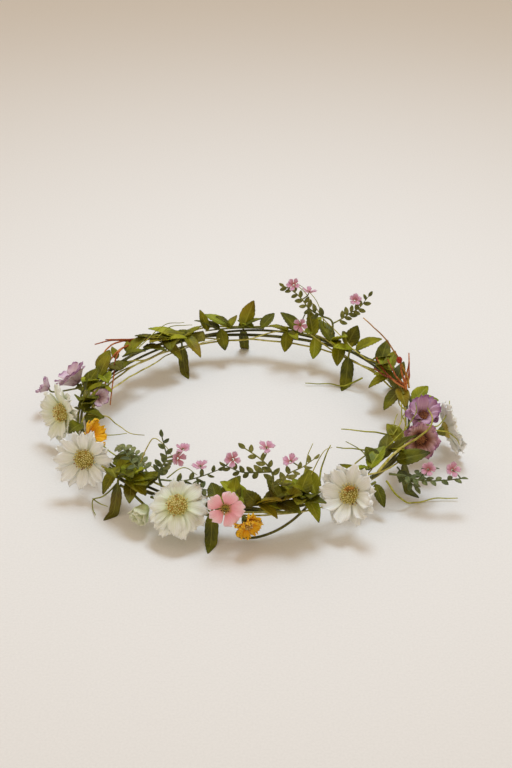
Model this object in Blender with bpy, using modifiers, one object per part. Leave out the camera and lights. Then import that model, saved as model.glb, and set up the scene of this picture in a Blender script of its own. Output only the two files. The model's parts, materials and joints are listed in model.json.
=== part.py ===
"""Flower crown: a twisted wire hoop dressed with artificial flowers, leaf sprigs, sprays and straw.

Frame: +Z up, the hoop's centre on the Z axis, Z = 0 is the table it lies on, -Y is the front.
A place on the crown is given by its angle round the hoop in degrees (0 at +X, 90 at the back)
and by how far it lies out from and up from the hoop's centreline.  Lengths are metres.
"""

import math

import bmesh
import bpy
from mathutils import Matrix, Quaternion, Vector

# --- Driving dimensions -----------------------------------------------------------------------
HOOP_RADIUS = 0.0900  # centreline, for a head of about 56 cm
HOOP_HEIGHT = 0.0170  # centreline above the table
WIRE_RADIUS = 0.0009  # paper-covered steel wire
LOOP_WIRE_RADIUS = 0.0007
TWIST_RADIUS = 0.0016  # each wire's distance from the centreline
TWIST_TURNS = 3
CLEARANCE = 0.0003  # between pieces that touch
PIN_CLEARANCE = 0.0001  # round a pin that turns
TAPE_THICKNESS = 0.0004
TAPE_LENGTH_DEGREES = 6.0
STEM_RADIUS = 0.0007  # flower stalks and sprig stems
STRAW_RADIUS = 0.0005
TWIG_RADIUS = 0.0006
PETAL_THICKNESS = 0.0005
LEAF_THICKNESS = 0.0006
LEAFLET_THICKNESS = 0.0007
PIN_RADIUS = 0.0008  # moulded pin that a flower head turns on
PIN_LENGTH = 0.0034
COSMOS_RADIUS = 0.0162
COSMOS_BOSS_RADIUS = 0.0052
ANEMONE_RADIUS = 0.0110
ROSE_RADIUS = 0.0097
MARIGOLD_RADIUS = 0.0085
BLOSSOM_RADIUS = 0.0042
LEAFLET_LENGTH = 0.0052
LEAFLET_WIDTH = 0.0031

# Sizes that follow from those
TAPE_INNER_RADIUS = TWIST_RADIUS + WIRE_RADIUS + CLEARANCE
STEM_LANE = TAPE_INNER_RADIUS + TAPE_THICKNESS + CLEARANCE + STEM_RADIUS + 0.0002
SOCKET_RADIUS = PIN_RADIUS + PIN_CLEARANCE
PETAL_HOLE_RADIUS = SOCKET_RADIUS
LAYER_GAP = PETAL_THICKNESS + CLEARANCE  # between two petal layers' middles
CUP_CURVE = 1.6  # power by which a petal's rise grows from its foot to its rim

GREEN = ("leaf_green", (0.15, 0.19, 0.02), 0.55)
SAGE = ("sprig_green", (0.10, 0.17, 0.05), 0.6)
WIRE_GREEN = ("wire_paper_green", (0.05, 0.08, 0.02), 0.8)
TAPE_GREEN = ("floral_tape", (0.16, 0.2, 0.06), 0.8)
STEM_GREEN = ("stem_green", (0.17, 0.25, 0.06), 0.6)
WHITE = ("white_petal", (0.85, 0.85, 0.78), 0.8)
BOSS_YELLOW = ("stamen_yellow", (0.75, 0.6, 0.2), 0.7)
MAUVE = ("mauve_petal", (0.45, 0.25, 0.5), 0.8)
PINK = ("pink_petal", (0.85, 0.4, 0.45), 0.8)
ORANGE = ("orange_petal", (0.9, 0.5, 0.03), 0.8)
LILAC = ("lilac_blossom", (0.62, 0.3, 0.45), 0.8)
TWIG_RED = ("red_twig", (0.42, 0.12, 0.04), 0.6)
STRAW_GREEN = ("green_straw", (0.45, 0.42, 0.08), 0.6)


# --- Scene and material helpers ---------------------------------------------------------------
def clear_scene():
    for obj in list(bpy.data.objects):
        bpy.data.objects.remove(obj)


def material(look):
    name, colour, roughness = look
    found = bpy.data.materials.get(name)
    if found:
        return found
    made = bpy.data.materials.new(name)
    made.use_nodes = True
    shader = made.node_tree.nodes["Principled BSDF"]
    shader.inputs["Base Color"].default_value = (*colour, 1.0)
    shader.inputs["Roughness"].default_value = roughness
    shader.inputs["Metallic"].default_value = 0.0
    return made


def crown_collection():
    found = bpy.data.collections.get("flower_crown")
    if not found:
        found = bpy.data.collections.new("flower_crown")
        bpy.context.scene.collection.children.link(found)
    return found


def new_object(name, data):
    obj = bpy.data.objects.new(name, data)
    crown_collection().objects.link(obj)
    return obj


def evaluated_mesh(obj, weld=1e-6):
    """The object's mesh with its modifiers applied and its doubled points welded."""
    bpy.context.view_layer.update()
    graph = bpy.context.evaluated_depsgraph_get()
    mesh = bpy.data.meshes.new_from_object(obj.evaluated_get(graph))
    work = bmesh.new()
    work.from_mesh(mesh)
    bmesh.ops.remove_doubles(work, verts=work.verts, dist=weld)
    work.to_mesh(mesh)
    work.free()
    return mesh


def as_mesh_object(obj):
    """Replaces a curve, or an object with modifiers, by a plain mesh object."""
    name = obj.name
    mesh = evaluated_mesh(obj)
    place = obj.matrix_world.copy()
    bpy.data.objects.remove(obj)
    made = new_object(name, mesh)
    made.matrix_world = place
    return made


def fused(name, pieces, look):
    """One solid made of pieces that overlap and share one local space."""
    body = pieces[0]
    for piece in pieces[1:]:
        union = body.modifiers.new(piece.name, "BOOLEAN")
        union.operation = "UNION"
        union.solver = "EXACT"
        union.object = piece
    solid = as_mesh_object(body)
    for piece in pieces[1:]:
        bpy.data.objects.remove(piece)
    solid.name = name
    return finished(solid, look)


def finished(obj, look):
    obj.data.materials.clear()
    obj.data.materials.append(material(look))
    obj.data.shade_smooth()
    obj.data.set_sharp_from_angle(angle=math.radians(40))
    return obj


# --- Places on the crown ----------------------------------------------------------------------
def hoop_point(angle, out=0.0, up=0.0):
    a = math.radians(angle)
    reach = HOOP_RADIUS + out
    return Vector((reach * math.cos(a), reach * math.sin(a), HOOP_HEIGHT + up))


def lane_point(angle, lane, radius=STEM_LANE):
    """A point beside the twisted wires: lane 0 is outwards, 90 on top, 180 inwards."""
    side = math.radians(lane)
    return hoop_point(angle, radius * math.cos(side), radius * math.sin(side))


def heading(azimuth, elevation):
    a, e = math.radians(azimuth), math.radians(elevation)
    return Vector((math.cos(e) * math.cos(a), math.cos(e) * math.sin(a), math.sin(e)))


def seat_matrix(point, facing):
    """The placement whose +Z points along facing."""
    return Matrix.Translation(point) @ facing.to_track_quat("Z", "Y").to_matrix().to_4x4()


def smooth_path(points, steps):
    """A Catmull-Rom curve through the points, with this many steps between neighbours."""
    ends = [2 * points[0] - points[1], *points, 2 * points[-1] - points[-2]]
    path = []
    for i in range(1, len(ends) - 2):
        p0, p1, p2, p3 = ends[i - 1 : i + 3]
        for k in range(steps):
            t = k / steps
            path.append(
                0.5
                * (
                    2 * p1
                    + (p2 - p0) * t
                    + (2 * p0 - 5 * p1 + 4 * p2 - p3) * t**2
                    + (3 * p1 - p0 - 3 * p2 + p3) * t**3
                )
            )
    return path + [points[-1]]


# --- Shape builders ---------------------------------------------------------------------------
def tube(name, points, radius, closed=False, resolution=1, caps=True):
    """A round bar along the points, as a mesh object."""
    curve = bpy.data.curves.new(name, "CURVE")
    curve.dimensions = "3D"
    curve.bevel_depth = radius
    curve.bevel_resolution = resolution
    curve.use_fill_caps = caps and not closed
    spline = curve.splines.new("POLY")
    spline.points.add(len(points) - 1)
    for slot, point in zip(spline.points, points):
        slot.co = (*point, 1.0)
    spline.use_cyclic_u = closed
    return as_mesh_object(new_object(name, curve))


def turned(name, profile, steps):
    """A solid or shell turned about Z from (radius, height) points, outer side top to bottom."""
    mesh = bpy.data.meshes.new(name)
    edges = [(i, i + 1) for i in range(len(profile) - 1)]
    mesh.from_pydata([(r, 0.0, z) for r, z in profile], edges, [])
    obj = new_object(name, mesh)
    screw = obj.modifiers.new("turn", "SCREW")
    screw.steps = screw.render_steps = steps
    screw.use_merge_vertices = True
    screw.merge_threshold = 1e-5
    screw.use_smooth_shade = True
    return as_mesh_object(obj)


def thicken(obj, thickness):
    shell = obj.modifiers.new("thickness", "SOLIDIFY")
    shell.thickness = thickness
    shell.offset = 0.0
    return as_mesh_object(obj)


def leaf_outline(share):
    """Half width of a leaf at a share of its length, as a share of its greatest half width."""
    return max(0.08, math.sin(math.pi * min(1.0, share**0.8 * 0.96 + 0.02)) ** 0.85)


def blade(name, start, facing, normal, length, width, droop, thickness, halves=2, fold=0.25):
    """A thin pointed leaf from start along facing, its upper face towards normal."""
    side = normal.cross(facing).normalized()
    above = facing.cross(side).normalized()
    mesh = bpy.data.meshes.new(name)
    sheet = bmesh.new()
    bmesh.ops.create_grid(sheet, x_segments=3, y_segments=halves, size=0.5)
    for vert in sheet.verts:
        share, across = vert.co.x + 0.5, 2 * vert.co.y
        half = 0.5 * width * leaf_outline(share)
        lift = fold * half * abs(across) - droop * length * share**2
        vert.co = start + facing * length * share + side * across * half + above * lift
    sheet.to_mesh(mesh)
    sheet.free()
    return thicken(new_object(name, mesh), thickness)


def petal_ring(name, hole, radius, cup, petals, notch, steps_per_petal=3, lift=0.0, phase=0.0):
    """One die-cut layer: a cupped disc with a hole, its rim cut into petals."""
    shares = (0.0, 0.45, 1.0)
    profile = [(hole + (radius - hole) * s, 0.0) for s in reversed(shares)]
    disc = turned(name, profile, petals * steps_per_petal)
    for vert in disc.data.vertices:
        reach = math.hypot(vert.co.x, vert.co.y)
        share = max(0.0, (reach - hole) / (radius - hole))
        turn = math.atan2(vert.co.y, vert.co.x)
        gap = math.cos(petals * turn / 2) ** 2
        inward = 1.0 - notch * gap * share**1.2
        vert.co.x *= inward
        vert.co.y *= inward
        cut_share = max(0.0, (reach * inward - hole) / (radius - hole))
        vert.co.z = lift + cup * cut_share**CUP_CURVE
    disc.data.transform(Matrix.Rotation(phase, 4, "Z"))
    return thicken(disc, PETAL_THICKNESS)


def calyx_profile(radius, depth):
    """Cup under a flower head, with a blind hole for the head's pin."""
    rim = -0.5 * PETAL_THICKNESS - CLEARANCE - LAYER_GAP
    outside = [(radius, rim), (0.8 * radius, rim - 0.45 * depth), (STEM_RADIUS * 1.4, rim - depth)]
    foot = [(0.0, rim - depth)]
    floor = -PIN_LENGTH - CLEARANCE - LAYER_GAP
    hole = [(0.0, floor), (SOCKET_RADIUS, floor), (SOCKET_RADIUS, rim)]
    return [*hole, *outside, *foot]


# --- Hoop -------------------------------------------------------------------------------------
def twisted_loop(angle, phase, radius):
    """Centreline of one of the twisted wires at this angle round the hoop."""
    return lane_point(angle, phase + TWIST_TURNS * angle, radius)


HOOP_STEPS = 48
EYE_ANGLE = -70.0  # where the loop wire's end leaves the hoop
EYE_GAP_DEGREES = 2.0
EYE_POINTS = (  # angle, out and up along the wire's bent end, from the hoop down and back
    (-73.0, 0.0026, -0.0042),
    (-77.0, 0.0048, -0.0074),
    (-82.0, 0.0068, -0.0106),
    (-87.5, 0.0076, -0.0130),
    (-92.0, 0.0064, -0.0136),
    (-93.0, 0.0042, -0.0122),
    (-90.0, 0.0024, -0.0096),
    (-85.5, 0.0018, -0.0072),
)


def build_hoop():
    angles = [360.0 * k / HOOP_STEPS for k in range(HOOP_STEPS)]
    main = tube(
        "hoop_wire_main",
        [twisted_loop(a, 0.0, TWIST_RADIUS) for a in angles],
        WIRE_RADIUS,
        closed=True,
        resolution=2,
    )
    finished(main, WIRE_GREEN)
    start = EYE_ANGLE + EYE_GAP_DEGREES
    turn = 360.0 - EYE_GAP_DEGREES
    ring = [
        twisted_loop(start + turn * k / HOOP_STEPS, 180.0, TWIST_RADIUS)
        for k in range(HOOP_STEPS + 1)
    ]
    eye = [hoop_point(angle, out, up) for angle, out, up in EYE_POINTS]
    end = smooth_path([ring[-1], *eye], 3)[1:]
    second = tube("hoop_wire_loop_end", ring + end, LOOP_WIRE_RADIUS, resolution=1)
    finished(second, WIRE_GREEN)


STRAW_LANE = -125.0  # under the hoop, on its inner side
STRAW_SWAY = 12.0
STRAW_WAVES = 7


def build_straw_ring():
    angles = [360.0 * k / HOOP_STEPS for k in range(HOOP_STEPS)]
    lane = [STRAW_LANE + STRAW_SWAY * math.sin(math.radians(STRAW_WAVES * a)) for a in angles]
    path = [lane_point(a, s, STEM_LANE) for a, s in zip(angles, lane)]
    finished(tube("straw_ring", path, STRAW_RADIUS, closed=True, resolution=0), STRAW_GREEN)


TAPE_ANGLES = (-107.0, 20.0, 110.5)


def build_tapes():
    """Short sleeves of floral tape round the twisted wires."""
    middle = TAPE_INNER_RADIUS + TAPE_THICKNESS / 2
    for number, angle in enumerate(TAPE_ANGLES, 1):
        steps = 3
        path = [
            hoop_point(angle + TAPE_LENGTH_DEGREES * (k / steps - 0.5)) for k in range(steps + 1)
        ]
        sleeve = tube(f"binding_tape_{number}", path, middle, resolution=3, caps=False)
        finished(thicken(sleeve, TAPE_THICKNESS), TAPE_GREEN)


# --- Flowers ----------------------------------------------------------------------------------
def stalk_path(root, lane, seat, foot):
    """From beside the hoop to the calyx's foot, leaving the hoop along its run.  World points."""
    back = seat.to_3x3() @ Vector((0, 0, -1))
    end = seat.translation + back * foot
    towards = -1.0 if root > math.degrees(math.atan2(end.y, end.x)) % 360 - 360 * (root < 0) else 1.0
    begin = lane_point(root - 4.0 * towards, lane)
    leave = lane_point(root, lane, STEM_LANE + 0.0003)
    near = end + back * 0.35 * (end - leave).length
    return smooth_path([begin, leave, near, end], 3)


def seat_empty(name, matrix):
    empty = new_object(name + "_seat", None)
    empty.empty_display_size = 0.005
    empty.hide_render = True
    empty.matrix_world = matrix
    return empty


def seated(obj, empty):
    obj.parent = empty
    return obj


def stem_with(name, front, root, lane, seat, calyx_depth, look=STEM_GREEN):
    """A wire stalk fused to the turned pieces at its head, in the seat's space."""
    foot = 0.5 * PETAL_THICKNESS + CLEARANCE + LAYER_GAP + calyx_depth - 0.0004
    inverse = seat.inverted()
    path = [inverse @ p for p in stalk_path(root, lane, seat, foot)]
    return fused(name, [*front, tube(name + "_stalk", path, STEM_RADIUS)], look)


COSMOS_LAYER_CUP = 0.0012  # how much less the back layer is cupped
COSMOS_CALYX_DEPTH = 0.0040
# head's angle, out and up; facing azimuth and elevation; stalk root and lane; rise of the rim
COSMOS = {
    "cosmos_left_back": ((-176, 0.0110, 0.0040), (-135, 12), (-170, -30), 0.0050),
    "cosmos_left": ((-148, 0.0095, 0.0045), (-98, 22), (-151, 0), 0.0060),
    "cosmos_front": ((-110, 0.0105, 0.0040), (-97, 54), (-117, 0), -0.0015),
    "cosmos_front_right": ((-58.5, 0.0090, 0.0040), (-114, 30), (-50, 0), 0.0060),
    "cosmos_right": ((-9, 0.0190, -0.0010), (18, 10), (-2, -25), 0.0045),
}


def cosmos_boss(name):
    """Domed button of stamens with the pin that holds the petals on the calyx."""
    face = 0.5 * PETAL_THICKNESS + CLEARANCE
    r = COSMOS_BOSS_RADIUS
    profile = [
        (0.0, face + 0.0024),
        (0.55 * r, face + 0.0021),
        (0.95 * r, face + 0.0012),
        (0.88 * r, face + 0.0007),
        (PIN_RADIUS, face),
        (PIN_RADIUS, -PIN_LENGTH - LAYER_GAP),
        (0.0, -PIN_LENGTH - LAYER_GAP),
    ]
    return turned(name, profile, 12)


def build_cosmos(name, head, aim, stalk, rise):
    seat = seat_matrix(hoop_point(*head), heading(*aim))
    empty = seat_empty(name, seat)
    cup = turned(name + "_calyx", calyx_profile(0.0031, COSMOS_CALYX_DEPTH), 12)
    seated(stem_with(name + "_stem", [cup], *stalk, seat, COSMOS_CALYX_DEPTH), empty)
    front = petal_ring(
        name + "_petals_front", PETAL_HOLE_RADIUS, COSMOS_RADIUS * 0.96, rise, 8, 0.3
    )
    seated(finished(front, WHITE), empty)
    back = petal_ring(
        name + "_petals_back",
        PETAL_HOLE_RADIUS,
        COSMOS_RADIUS,
        rise - COSMOS_LAYER_CUP,
        8,
        0.3,
        lift=-LAYER_GAP,
        phase=math.pi / 8,
    )
    seated(finished(back, WHITE), empty)
    return seated(finished(cosmos_boss(name + "_centre"), BOSS_YELLOW), empty)


def threaded_stem(name, boss_radius, calyx_radius, calyx_depth, root, lane, seat):
    """A stem whose moulded eye holds the petals on from the front."""
    face = 0.5 * PETAL_THICKNESS + CLEARANCE
    rim = -face - LAYER_GAP
    profile = [
        (0.0, face + 0.0016),
        (0.7 * boss_radius, face + 0.0013),
        (boss_radius, face),
        (PIN_RADIUS, face),
        (PIN_RADIUS, rim),
        (calyx_radius, rim),
        (0.8 * calyx_radius, rim - 0.45 * calyx_depth),
        (STEM_RADIUS * 1.4, rim - calyx_depth),
        (0.0, rim - calyx_depth),
    ]
    return stem_with(name, [turned(name + "_eye", profile, 10)], root, lane, seat, calyx_depth)


# name: head, aim, stalk, radius, cup, petals, notch, eye radius, petal look
THREADED = {
    "anemone_left": (
        (165, 0.0105, 0.0026), (156, 50), (158, 20), ANEMONE_RADIUS, 0.0060, 6, 0.22, 0.0026, MAUVE,
    ),
    "anemone_right_front": (
        (-21, 0.0080, 0.0050), (-94, 22), (-14, 40), ANEMONE_RADIUS, 0.0045, 6, 0.22, 0.0026, MAUVE,
    ),
    "anemone_right_back": (
        (-9, 0.0058, 0.0060), (-84, 64), (0, 50), ANEMONE_RADIUS, 0.0055, 6, 0.22, 0.0026, MAUVE,
    ),
    "rose_front": (
        (-96, 0.0118, 0.0078), (-84, 20), (-101, -40), ROSE_RADIUS, 0.0026, 5, 0.28, 0.0018, PINK,
    ),
    "marigold_front": (
        (-90, 0.0112, -0.0018), (-64, -18), (-79, -10), MARIGOLD_RADIUS, 0.0022, 12, 0.2, 0.0014, ORANGE,
    ),
    "marigold_left": (
        (-158, 0.0010, 0.0060), (-15, 36), (-165, 70), MARIGOLD_RADIUS, 0.0050, 12, 0.2, 0.0014, ORANGE,
    ),
}
THREADED_CALYX_DEPTH = 0.0030


def build_threaded(name, head, aim, stalk, radius, cup, petals, notch, eye, look):
    seat = seat_matrix(hoop_point(*head), heading(*aim))
    empty = seat_empty(name, seat)
    stem = threaded_stem(name + "_stem", eye, 0.0022, THREADED_CALYX_DEPTH, *stalk, seat)
    seated(stem, empty)
    steps = 2 if petals > 8 else 3
    ring = petal_ring(
        name + "_petals", PETAL_HOLE_RADIUS, radius, cup, petals, notch, steps, lift=-0.5 * LAYER_GAP
    )
    return seated(finished(ring, look), empty)


BUD_HEAD = (-122.0, 0.0110, -0.0062)
BUD_AIM = (-125.0, -12.0)
BUD_RADIUS = 0.0056
BUD_LENGTH = 0.0090


def build_bud():
    """Half-open bud on its own stalk."""
    seat = seat_matrix(hoop_point(*BUD_HEAD), heading(*BUD_AIM))
    empty = seat_empty("bud_front_left", seat)
    shares = ((1.0, 0.35), (0.8, 0.8), (0.45, 1.0), (0.15, 0.75))
    body = [(BUD_RADIUS * wide, BUD_LENGTH * (high - 0.5)) for high, wide in shares]
    foot = BUD_LENGTH * 0.5
    profile = [(0.0, foot * 1.04), *body, (STEM_RADIUS * 1.4, -foot), (0.0, -foot)]
    inverse = seat.inverted()
    path = [inverse @ p for p in stalk_path(-130, -30, seat, foot - 0.0004)]
    stalk = tube("bud_stalk", path, STEM_RADIUS)
    return seated(fused("bud_front_left", [turned("bud", profile, 10), stalk], WHITE), empty)


# --- Sprays: moulded stalks with leaflets, and the blossoms pushed on them ----------------------
# A spray's plane rises from its base: across runs along the hoop's tangent, up leans outwards.
SPRAYS = {
    "spray_front_left": {
        "base": (-119.0, 100.0),
        "lean": (-100.0, 93.0),
        "across": -8.0,
        "branches": (
            ((0.0, 0.0), (-0.0012, 0.006), (0.0005, 0.012), (0.0030, 0.017), (0.0010, 0.029)),
            ((-0.0009, 0.0040), (0.010, 0.0042), (0.020, 0.0078), (0.029, 0.0125)),
        ),
        "leaflets": (9, 6),
        "blossoms": ((0.0115, 0.0225), (0.0200, 0.0135)),
    },
    "spray_front": {
        "base": (-82.0, 100.0),
        "lean": (-95.0, 84.0),
        "across": 0.0,
        "branches": (
            ((0.0, 0.0), (0.0004, 0.008), (0.0, 0.017), (-0.0045, 0.0245), (-0.0130, 0.0325)),
            ((-0.0002, 0.0175), (-0.008, 0.0170), (-0.0155, 0.0175), (-0.0225, 0.0215)),
            ((0.0004, 0.0070), (0.0055, 0.0110), (0.0085, 0.0165), (0.0145, 0.0200), (0.0205, 0.0255)),
        ),
        "leaflets": (7, 6, 6),
        "blossoms": ((-0.0025, 0.0325), (0.0090, 0.0235)),
    },
    "spray_back": {
        "base": (57.0, 80.0),
        "lean": (75.0, 78.0),
        "across": 0.0,
        "branches": (
            (
                (0.0, 0.0), (-0.0005, 0.0100), (-0.0080, 0.0135), (-0.0150, 0.0175),
                (-0.0190, 0.0225), (-0.0250, 0.0275), (-0.0300, 0.0300),
            ),
            ((-0.0003, 0.0085), (0.0055, 0.0120), (0.0100, 0.0160), (0.0150, 0.0190), (0.0200, 0.0265)),
        ),
        "leaflets": (11, 10),
        "blossoms": ((-0.0150, 0.0270),),
    },
    "spray_right": {
        "base": (-39.0, -10.0),
        "lean": (-15.0, 5.0),
        "across": -100.0,
        "branches": (
            ((0.0, 0.0), (0.0010, 0.008), (0.0035, 0.016), (0.0030, 0.025), (-0.0005, 0.0370)),
            ((0.0020, 0.0120), (-0.0035, 0.0160), (-0.0070, 0.0215)),
        ),
        "leaflets": (8, 4),
        "blossoms": (),
    },
}
LEAFLET_ANGLE = math.radians(52)
BRANCH_RADIUS = 0.00055
PEDICEL_RADIUS = 0.00045
PEDICEL_HOLE_RADIUS = PEDICEL_RADIUS + 0.00015


def spray_frame(spray):
    """Base point and the unit vectors across, up and out of the spray's plane."""
    base = lane_point(*spray["base"])
    up = heading(*spray["lean"])
    across = heading(spray["across"], 0.0)
    across = (across - up * across.dot(up)).normalized()
    return base, across, up, across.cross(up)


def build_spray(name, spray):
    base, across, up, normal = spray_frame(spray)
    in_plane = lambda x, y: across * x + up * y  # noqa: E731
    pieces = []
    for number, points in enumerate(spray["branches"]):
        path = smooth_path([in_plane(x, y) for x, y in points], 2)
        radius = STEM_RADIUS if number == 0 else BRANCH_RADIUS
        pieces.append(tube(f"{name}_branch_{number}", path, radius))
        count = spray["leaflets"][number]
        clear = 0.30 if number == 0 else 0.22
        for k in range(count):
            share = clear + (1.0 - clear) * k / (count - 1)
            place = share * (len(path) - 1)
            i = min(int(place), len(path) - 2)
            start = path[i].lerp(path[i + 1], place - i)
            along = (path[i + 1] - path[i]).normalized()
            side = 0 if k == count - 1 else (1 if k % 2 else -1)
            facing = Quaternion(normal, side * LEAFLET_ANGLE) @ along
            size = 1.0 - 0.25 * share
            pieces.append(
                blade(
                    f"{name}_leaflet_{number}_{k}",
                    start,
                    facing,
                    normal + 0.2 * side * along,
                    LEAFLET_LENGTH * size * 1.25,
                    LEAFLET_WIDTH * size,
                    0.05,
                    LEAFLET_THICKNESS,
                    halves=1,
                )
            )
    joints = [in_plane(x, y) for branch in spray["branches"] for x, y in branch[1:]]
    for number, (x, y) in enumerate(spray["blossoms"]):
        seat = in_plane(x, y)
        lower = [p for p in joints if (seat - p).dot(up) > 0.0015]
        start = min(lower, key=lambda p: (seat - p).length)
        path = [start, seat - up * 0.0012, seat + up * 0.0009]
        pieces.append(tube(f"{name}_pedicel_{number}", path, PEDICEL_RADIUS))
    solid = fused(name, pieces, SAGE)
    solid.location = base
    for number, (x, y) in enumerate(spray["blossoms"], 1):
        build_blossom(f"{name}_blossom_{number}", base + in_plane(x, y), up)


def build_blossom(name, point, up):
    """Small five-petalled blossom pushed onto its stalk."""
    ring = petal_ring(name, PEDICEL_HOLE_RADIUS, BLOSSOM_RADIUS, 0.0022, 5, 0.35, 2)
    ring.matrix_world = seat_matrix(point, up)
    return finished(ring, LILAC)


# --- Leaf sprigs ------------------------------------------------------------------------------
# name: lane and ends of the stem, leaves as (angle, azimuth, elevation, length, width), then
# the leaves that rest on the table as (angle, side of the hoop, azimuth, width)
LEAF_SPRIGS = {
    "leaves_front_left": (
        50, -140, -123,
        (
            (-137, -128, -38, 0.0120, 0.0070),
            (-134, -60, 32, 0.0170, 0.0090),
            (-131, -52, 14, 0.0180, 0.0095),
            (-128, 120, 18, 0.0130, 0.0080),
            (-124, 50, 24, 0.0130, 0.0070),
        ),
        ((-134, 1, -128, 0.0075),),
    ),
    "leaves_front": (
        60, -101, -79,
        (
            (-99.5, 100, 16, 0.0130, 0.0075),
            (-95, 65, 50, 0.0130, 0.0075),
            (-90, 150, 40, 0.0160, 0.0095),
            (-87, -130, 55, 0.0140, 0.0085),
            (-80, -28, 42, 0.0160, 0.0090),
        ),
        ((-100.5, 1, -100, 0.0075),),
    ),
    "leaves_front_right": (
        70, -75, -68,
        (
            (-74, 60, 45, 0.0150, 0.0085),
            (-71, -60, -20, 0.0140, 0.0080),
            (-69, -95, 35, 0.0120, 0.0080),
            (-68, 112, 30, 0.0150, 0.0085),
        ),
        (),
    ),
    "leaves_right": (
        120, -46, -23,
        (
            (-45, 150, -12, 0.0140, 0.0060),
            (-41, 120, 35, 0.0100, 0.0085),
            (-40, 160, -40, 0.0120, 0.0075),
            (-31, -60, 28, 0.0120, 0.0080),
            (-25, 120, 30, 0.0120, 0.0070),
        ),
        ((-31, 1, -48, 0.0065),),
    ),
    "leaves_back_right": (
        120, 8, 36,
        (
            (12, 215, -35, 0.0150, 0.0080),
            (22, 190, -22, 0.0140, 0.0080),
            (30, 70, 42, 0.0160, 0.0085),
            (35, -30, 30, 0.0120, 0.0065),
        ),
        ((32, 1, 20, 0.0065),),
    ),
    "leaves_back": (
        120, 42, 76,
        (
            (44, 15, 28, 0.0160, 0.0080),
            (49, 30, 58, 0.0140, 0.0095),
            (64, 100, 52, 0.0150, 0.0100),
            (63, -95, -58, 0.0130, 0.0080),
            (70, 140, 40, 0.0160, 0.0095),
            (75, -90, -60, 0.0120, 0.0075),
        ),
        ((46, -1, -110, 0.0085),),
    ),
    "leaves_back_left": (
        110, 84, 107,
        (
            (85, 40, 34, 0.0120, 0.0070),
            (92, 55, 48, 0.0170, 0.0095),
            (97, 165, 26, 0.0180, 0.0085),
            (101, -70, -50, 0.0130, 0.0075),
            (106, 130, 58, 0.0130, 0.0050),
        ),
        ((92, 1, 80, 0.0065),),
    ),
    "leaves_left_back": (
        115, 114, 126,
        (
            (115, -60, -22, 0.0170, 0.0080),
            (119, 170, 24, 0.0170, 0.0100),
            (122, -90, 16, 0.0160, 0.0100),
            (125, -40, -24, 0.0170, 0.0090),
        ),
        ((118, -1, -70, 0.0065),),
    ),
    "leaves_left": (
        95, 158, 185,
        (
            (159, -70, 24, 0.0160, 0.0090),
            (172, -20, 35, 0.0140, 0.0085),
            (179, -80, 60, 0.0140, 0.0085),
            (184, -45, 18, 0.0150, 0.0075),
        ),
        ((170, 1, 160, 0.0065),),
    ),
}
LEAF_DROOP = 0.12
REST_CLEAR = 0.0009  # between the hoop's lanes and a leaf stalk that comes down past them
REST_STEPS = ((0.0015, 0.0100), (0.0050, 0.0), (0.0120, 0.0))  # reach and height of the leaf's run


def rest_stalk(angle, lane, side):
    """From the sprig's stem round to the hoop's outer or inner side."""
    middle = 5 if side > 0 else 175
    return [
        lane_point(angle, lane),
        lane_point(angle, (lane + middle) / 2, STEM_LANE + REST_CLEAR),
        lane_point(angle, middle, STEM_LANE + REST_CLEAR),
        lane_point(angle, middle, STEM_LANE + REST_CLEAR) - Vector((0, 0, 0.0015)),
    ]


def rest_leaf(name, start, azimuth, width):
    """A leaf that hangs from start and lies flat on the table with its outer third."""
    run = heading(azimuth, 0)
    side = heading(azimuth + 90, 0)
    line = [start]
    for reach, height in REST_STEPS:
        point = start + run * reach
        point.z = height + LEAF_THICKNESS / 2
        line.append(point)
    mesh = bpy.data.meshes.new(name)
    sheet = bmesh.new()
    bmesh.ops.create_grid(sheet, x_segments=3, y_segments=2, size=0.5)
    for vert in sheet.verts:
        share, across = vert.co.x + 0.5, 2 * vert.co.y
        half = 0.5 * width * leaf_outline(max(share, 0.1))
        vert.co = line[round(share * 3)] + side * across * half
    sheet.to_mesh(mesh)
    sheet.free()
    leaf = thicken(new_object(name, mesh), LEAF_THICKNESS)
    for vert in leaf.data.vertices:
        if vert.co.z < LEAF_THICKNESS / 2:
            vert.co.z = 0.0
    return leaf


def build_leaf_sprig(name, lane, first, last, leaves, resting):
    root = lane_point(first, lane)
    steps = max(3, round(abs(last - first) / 6))
    stem = [lane_point(first + (last - first) * k / steps, lane) - root for k in range(steps + 1)]
    pieces = [tube(name + "_stem", stem, STEM_RADIUS)]
    for number, (angle, azimuth, elevation, length, width) in enumerate(leaves):
        start = lane_point(angle, lane) - root
        normal = Vector((0, 0, 1))
        if abs(elevation) >= 45:
            normal = heading(angle, 15)
        pieces.append(
            blade(
                f"{name}_{number}",
                start,
                heading(azimuth, elevation),
                normal,
                length,
                width,
                LEAF_DROOP,
                LEAF_THICKNESS,
            )
        )
    for number, (angle, side, azimuth, width) in enumerate(resting):
        path = rest_stalk(angle, lane, side)
        leaf = rest_leaf(f"{name}_rest_{number}", path[-1] + Vector((0, 0, 0.0008)), azimuth, width)
        leaf.data.transform(Matrix.Translation(-root))
        pieces.append(tube(f"{name}_rest_stalk_{number}", [p - root for p in path], STEM_RADIUS))
        pieces.append(leaf)
    solid = fused(name, pieces, GREEN)
    solid.location = root


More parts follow.
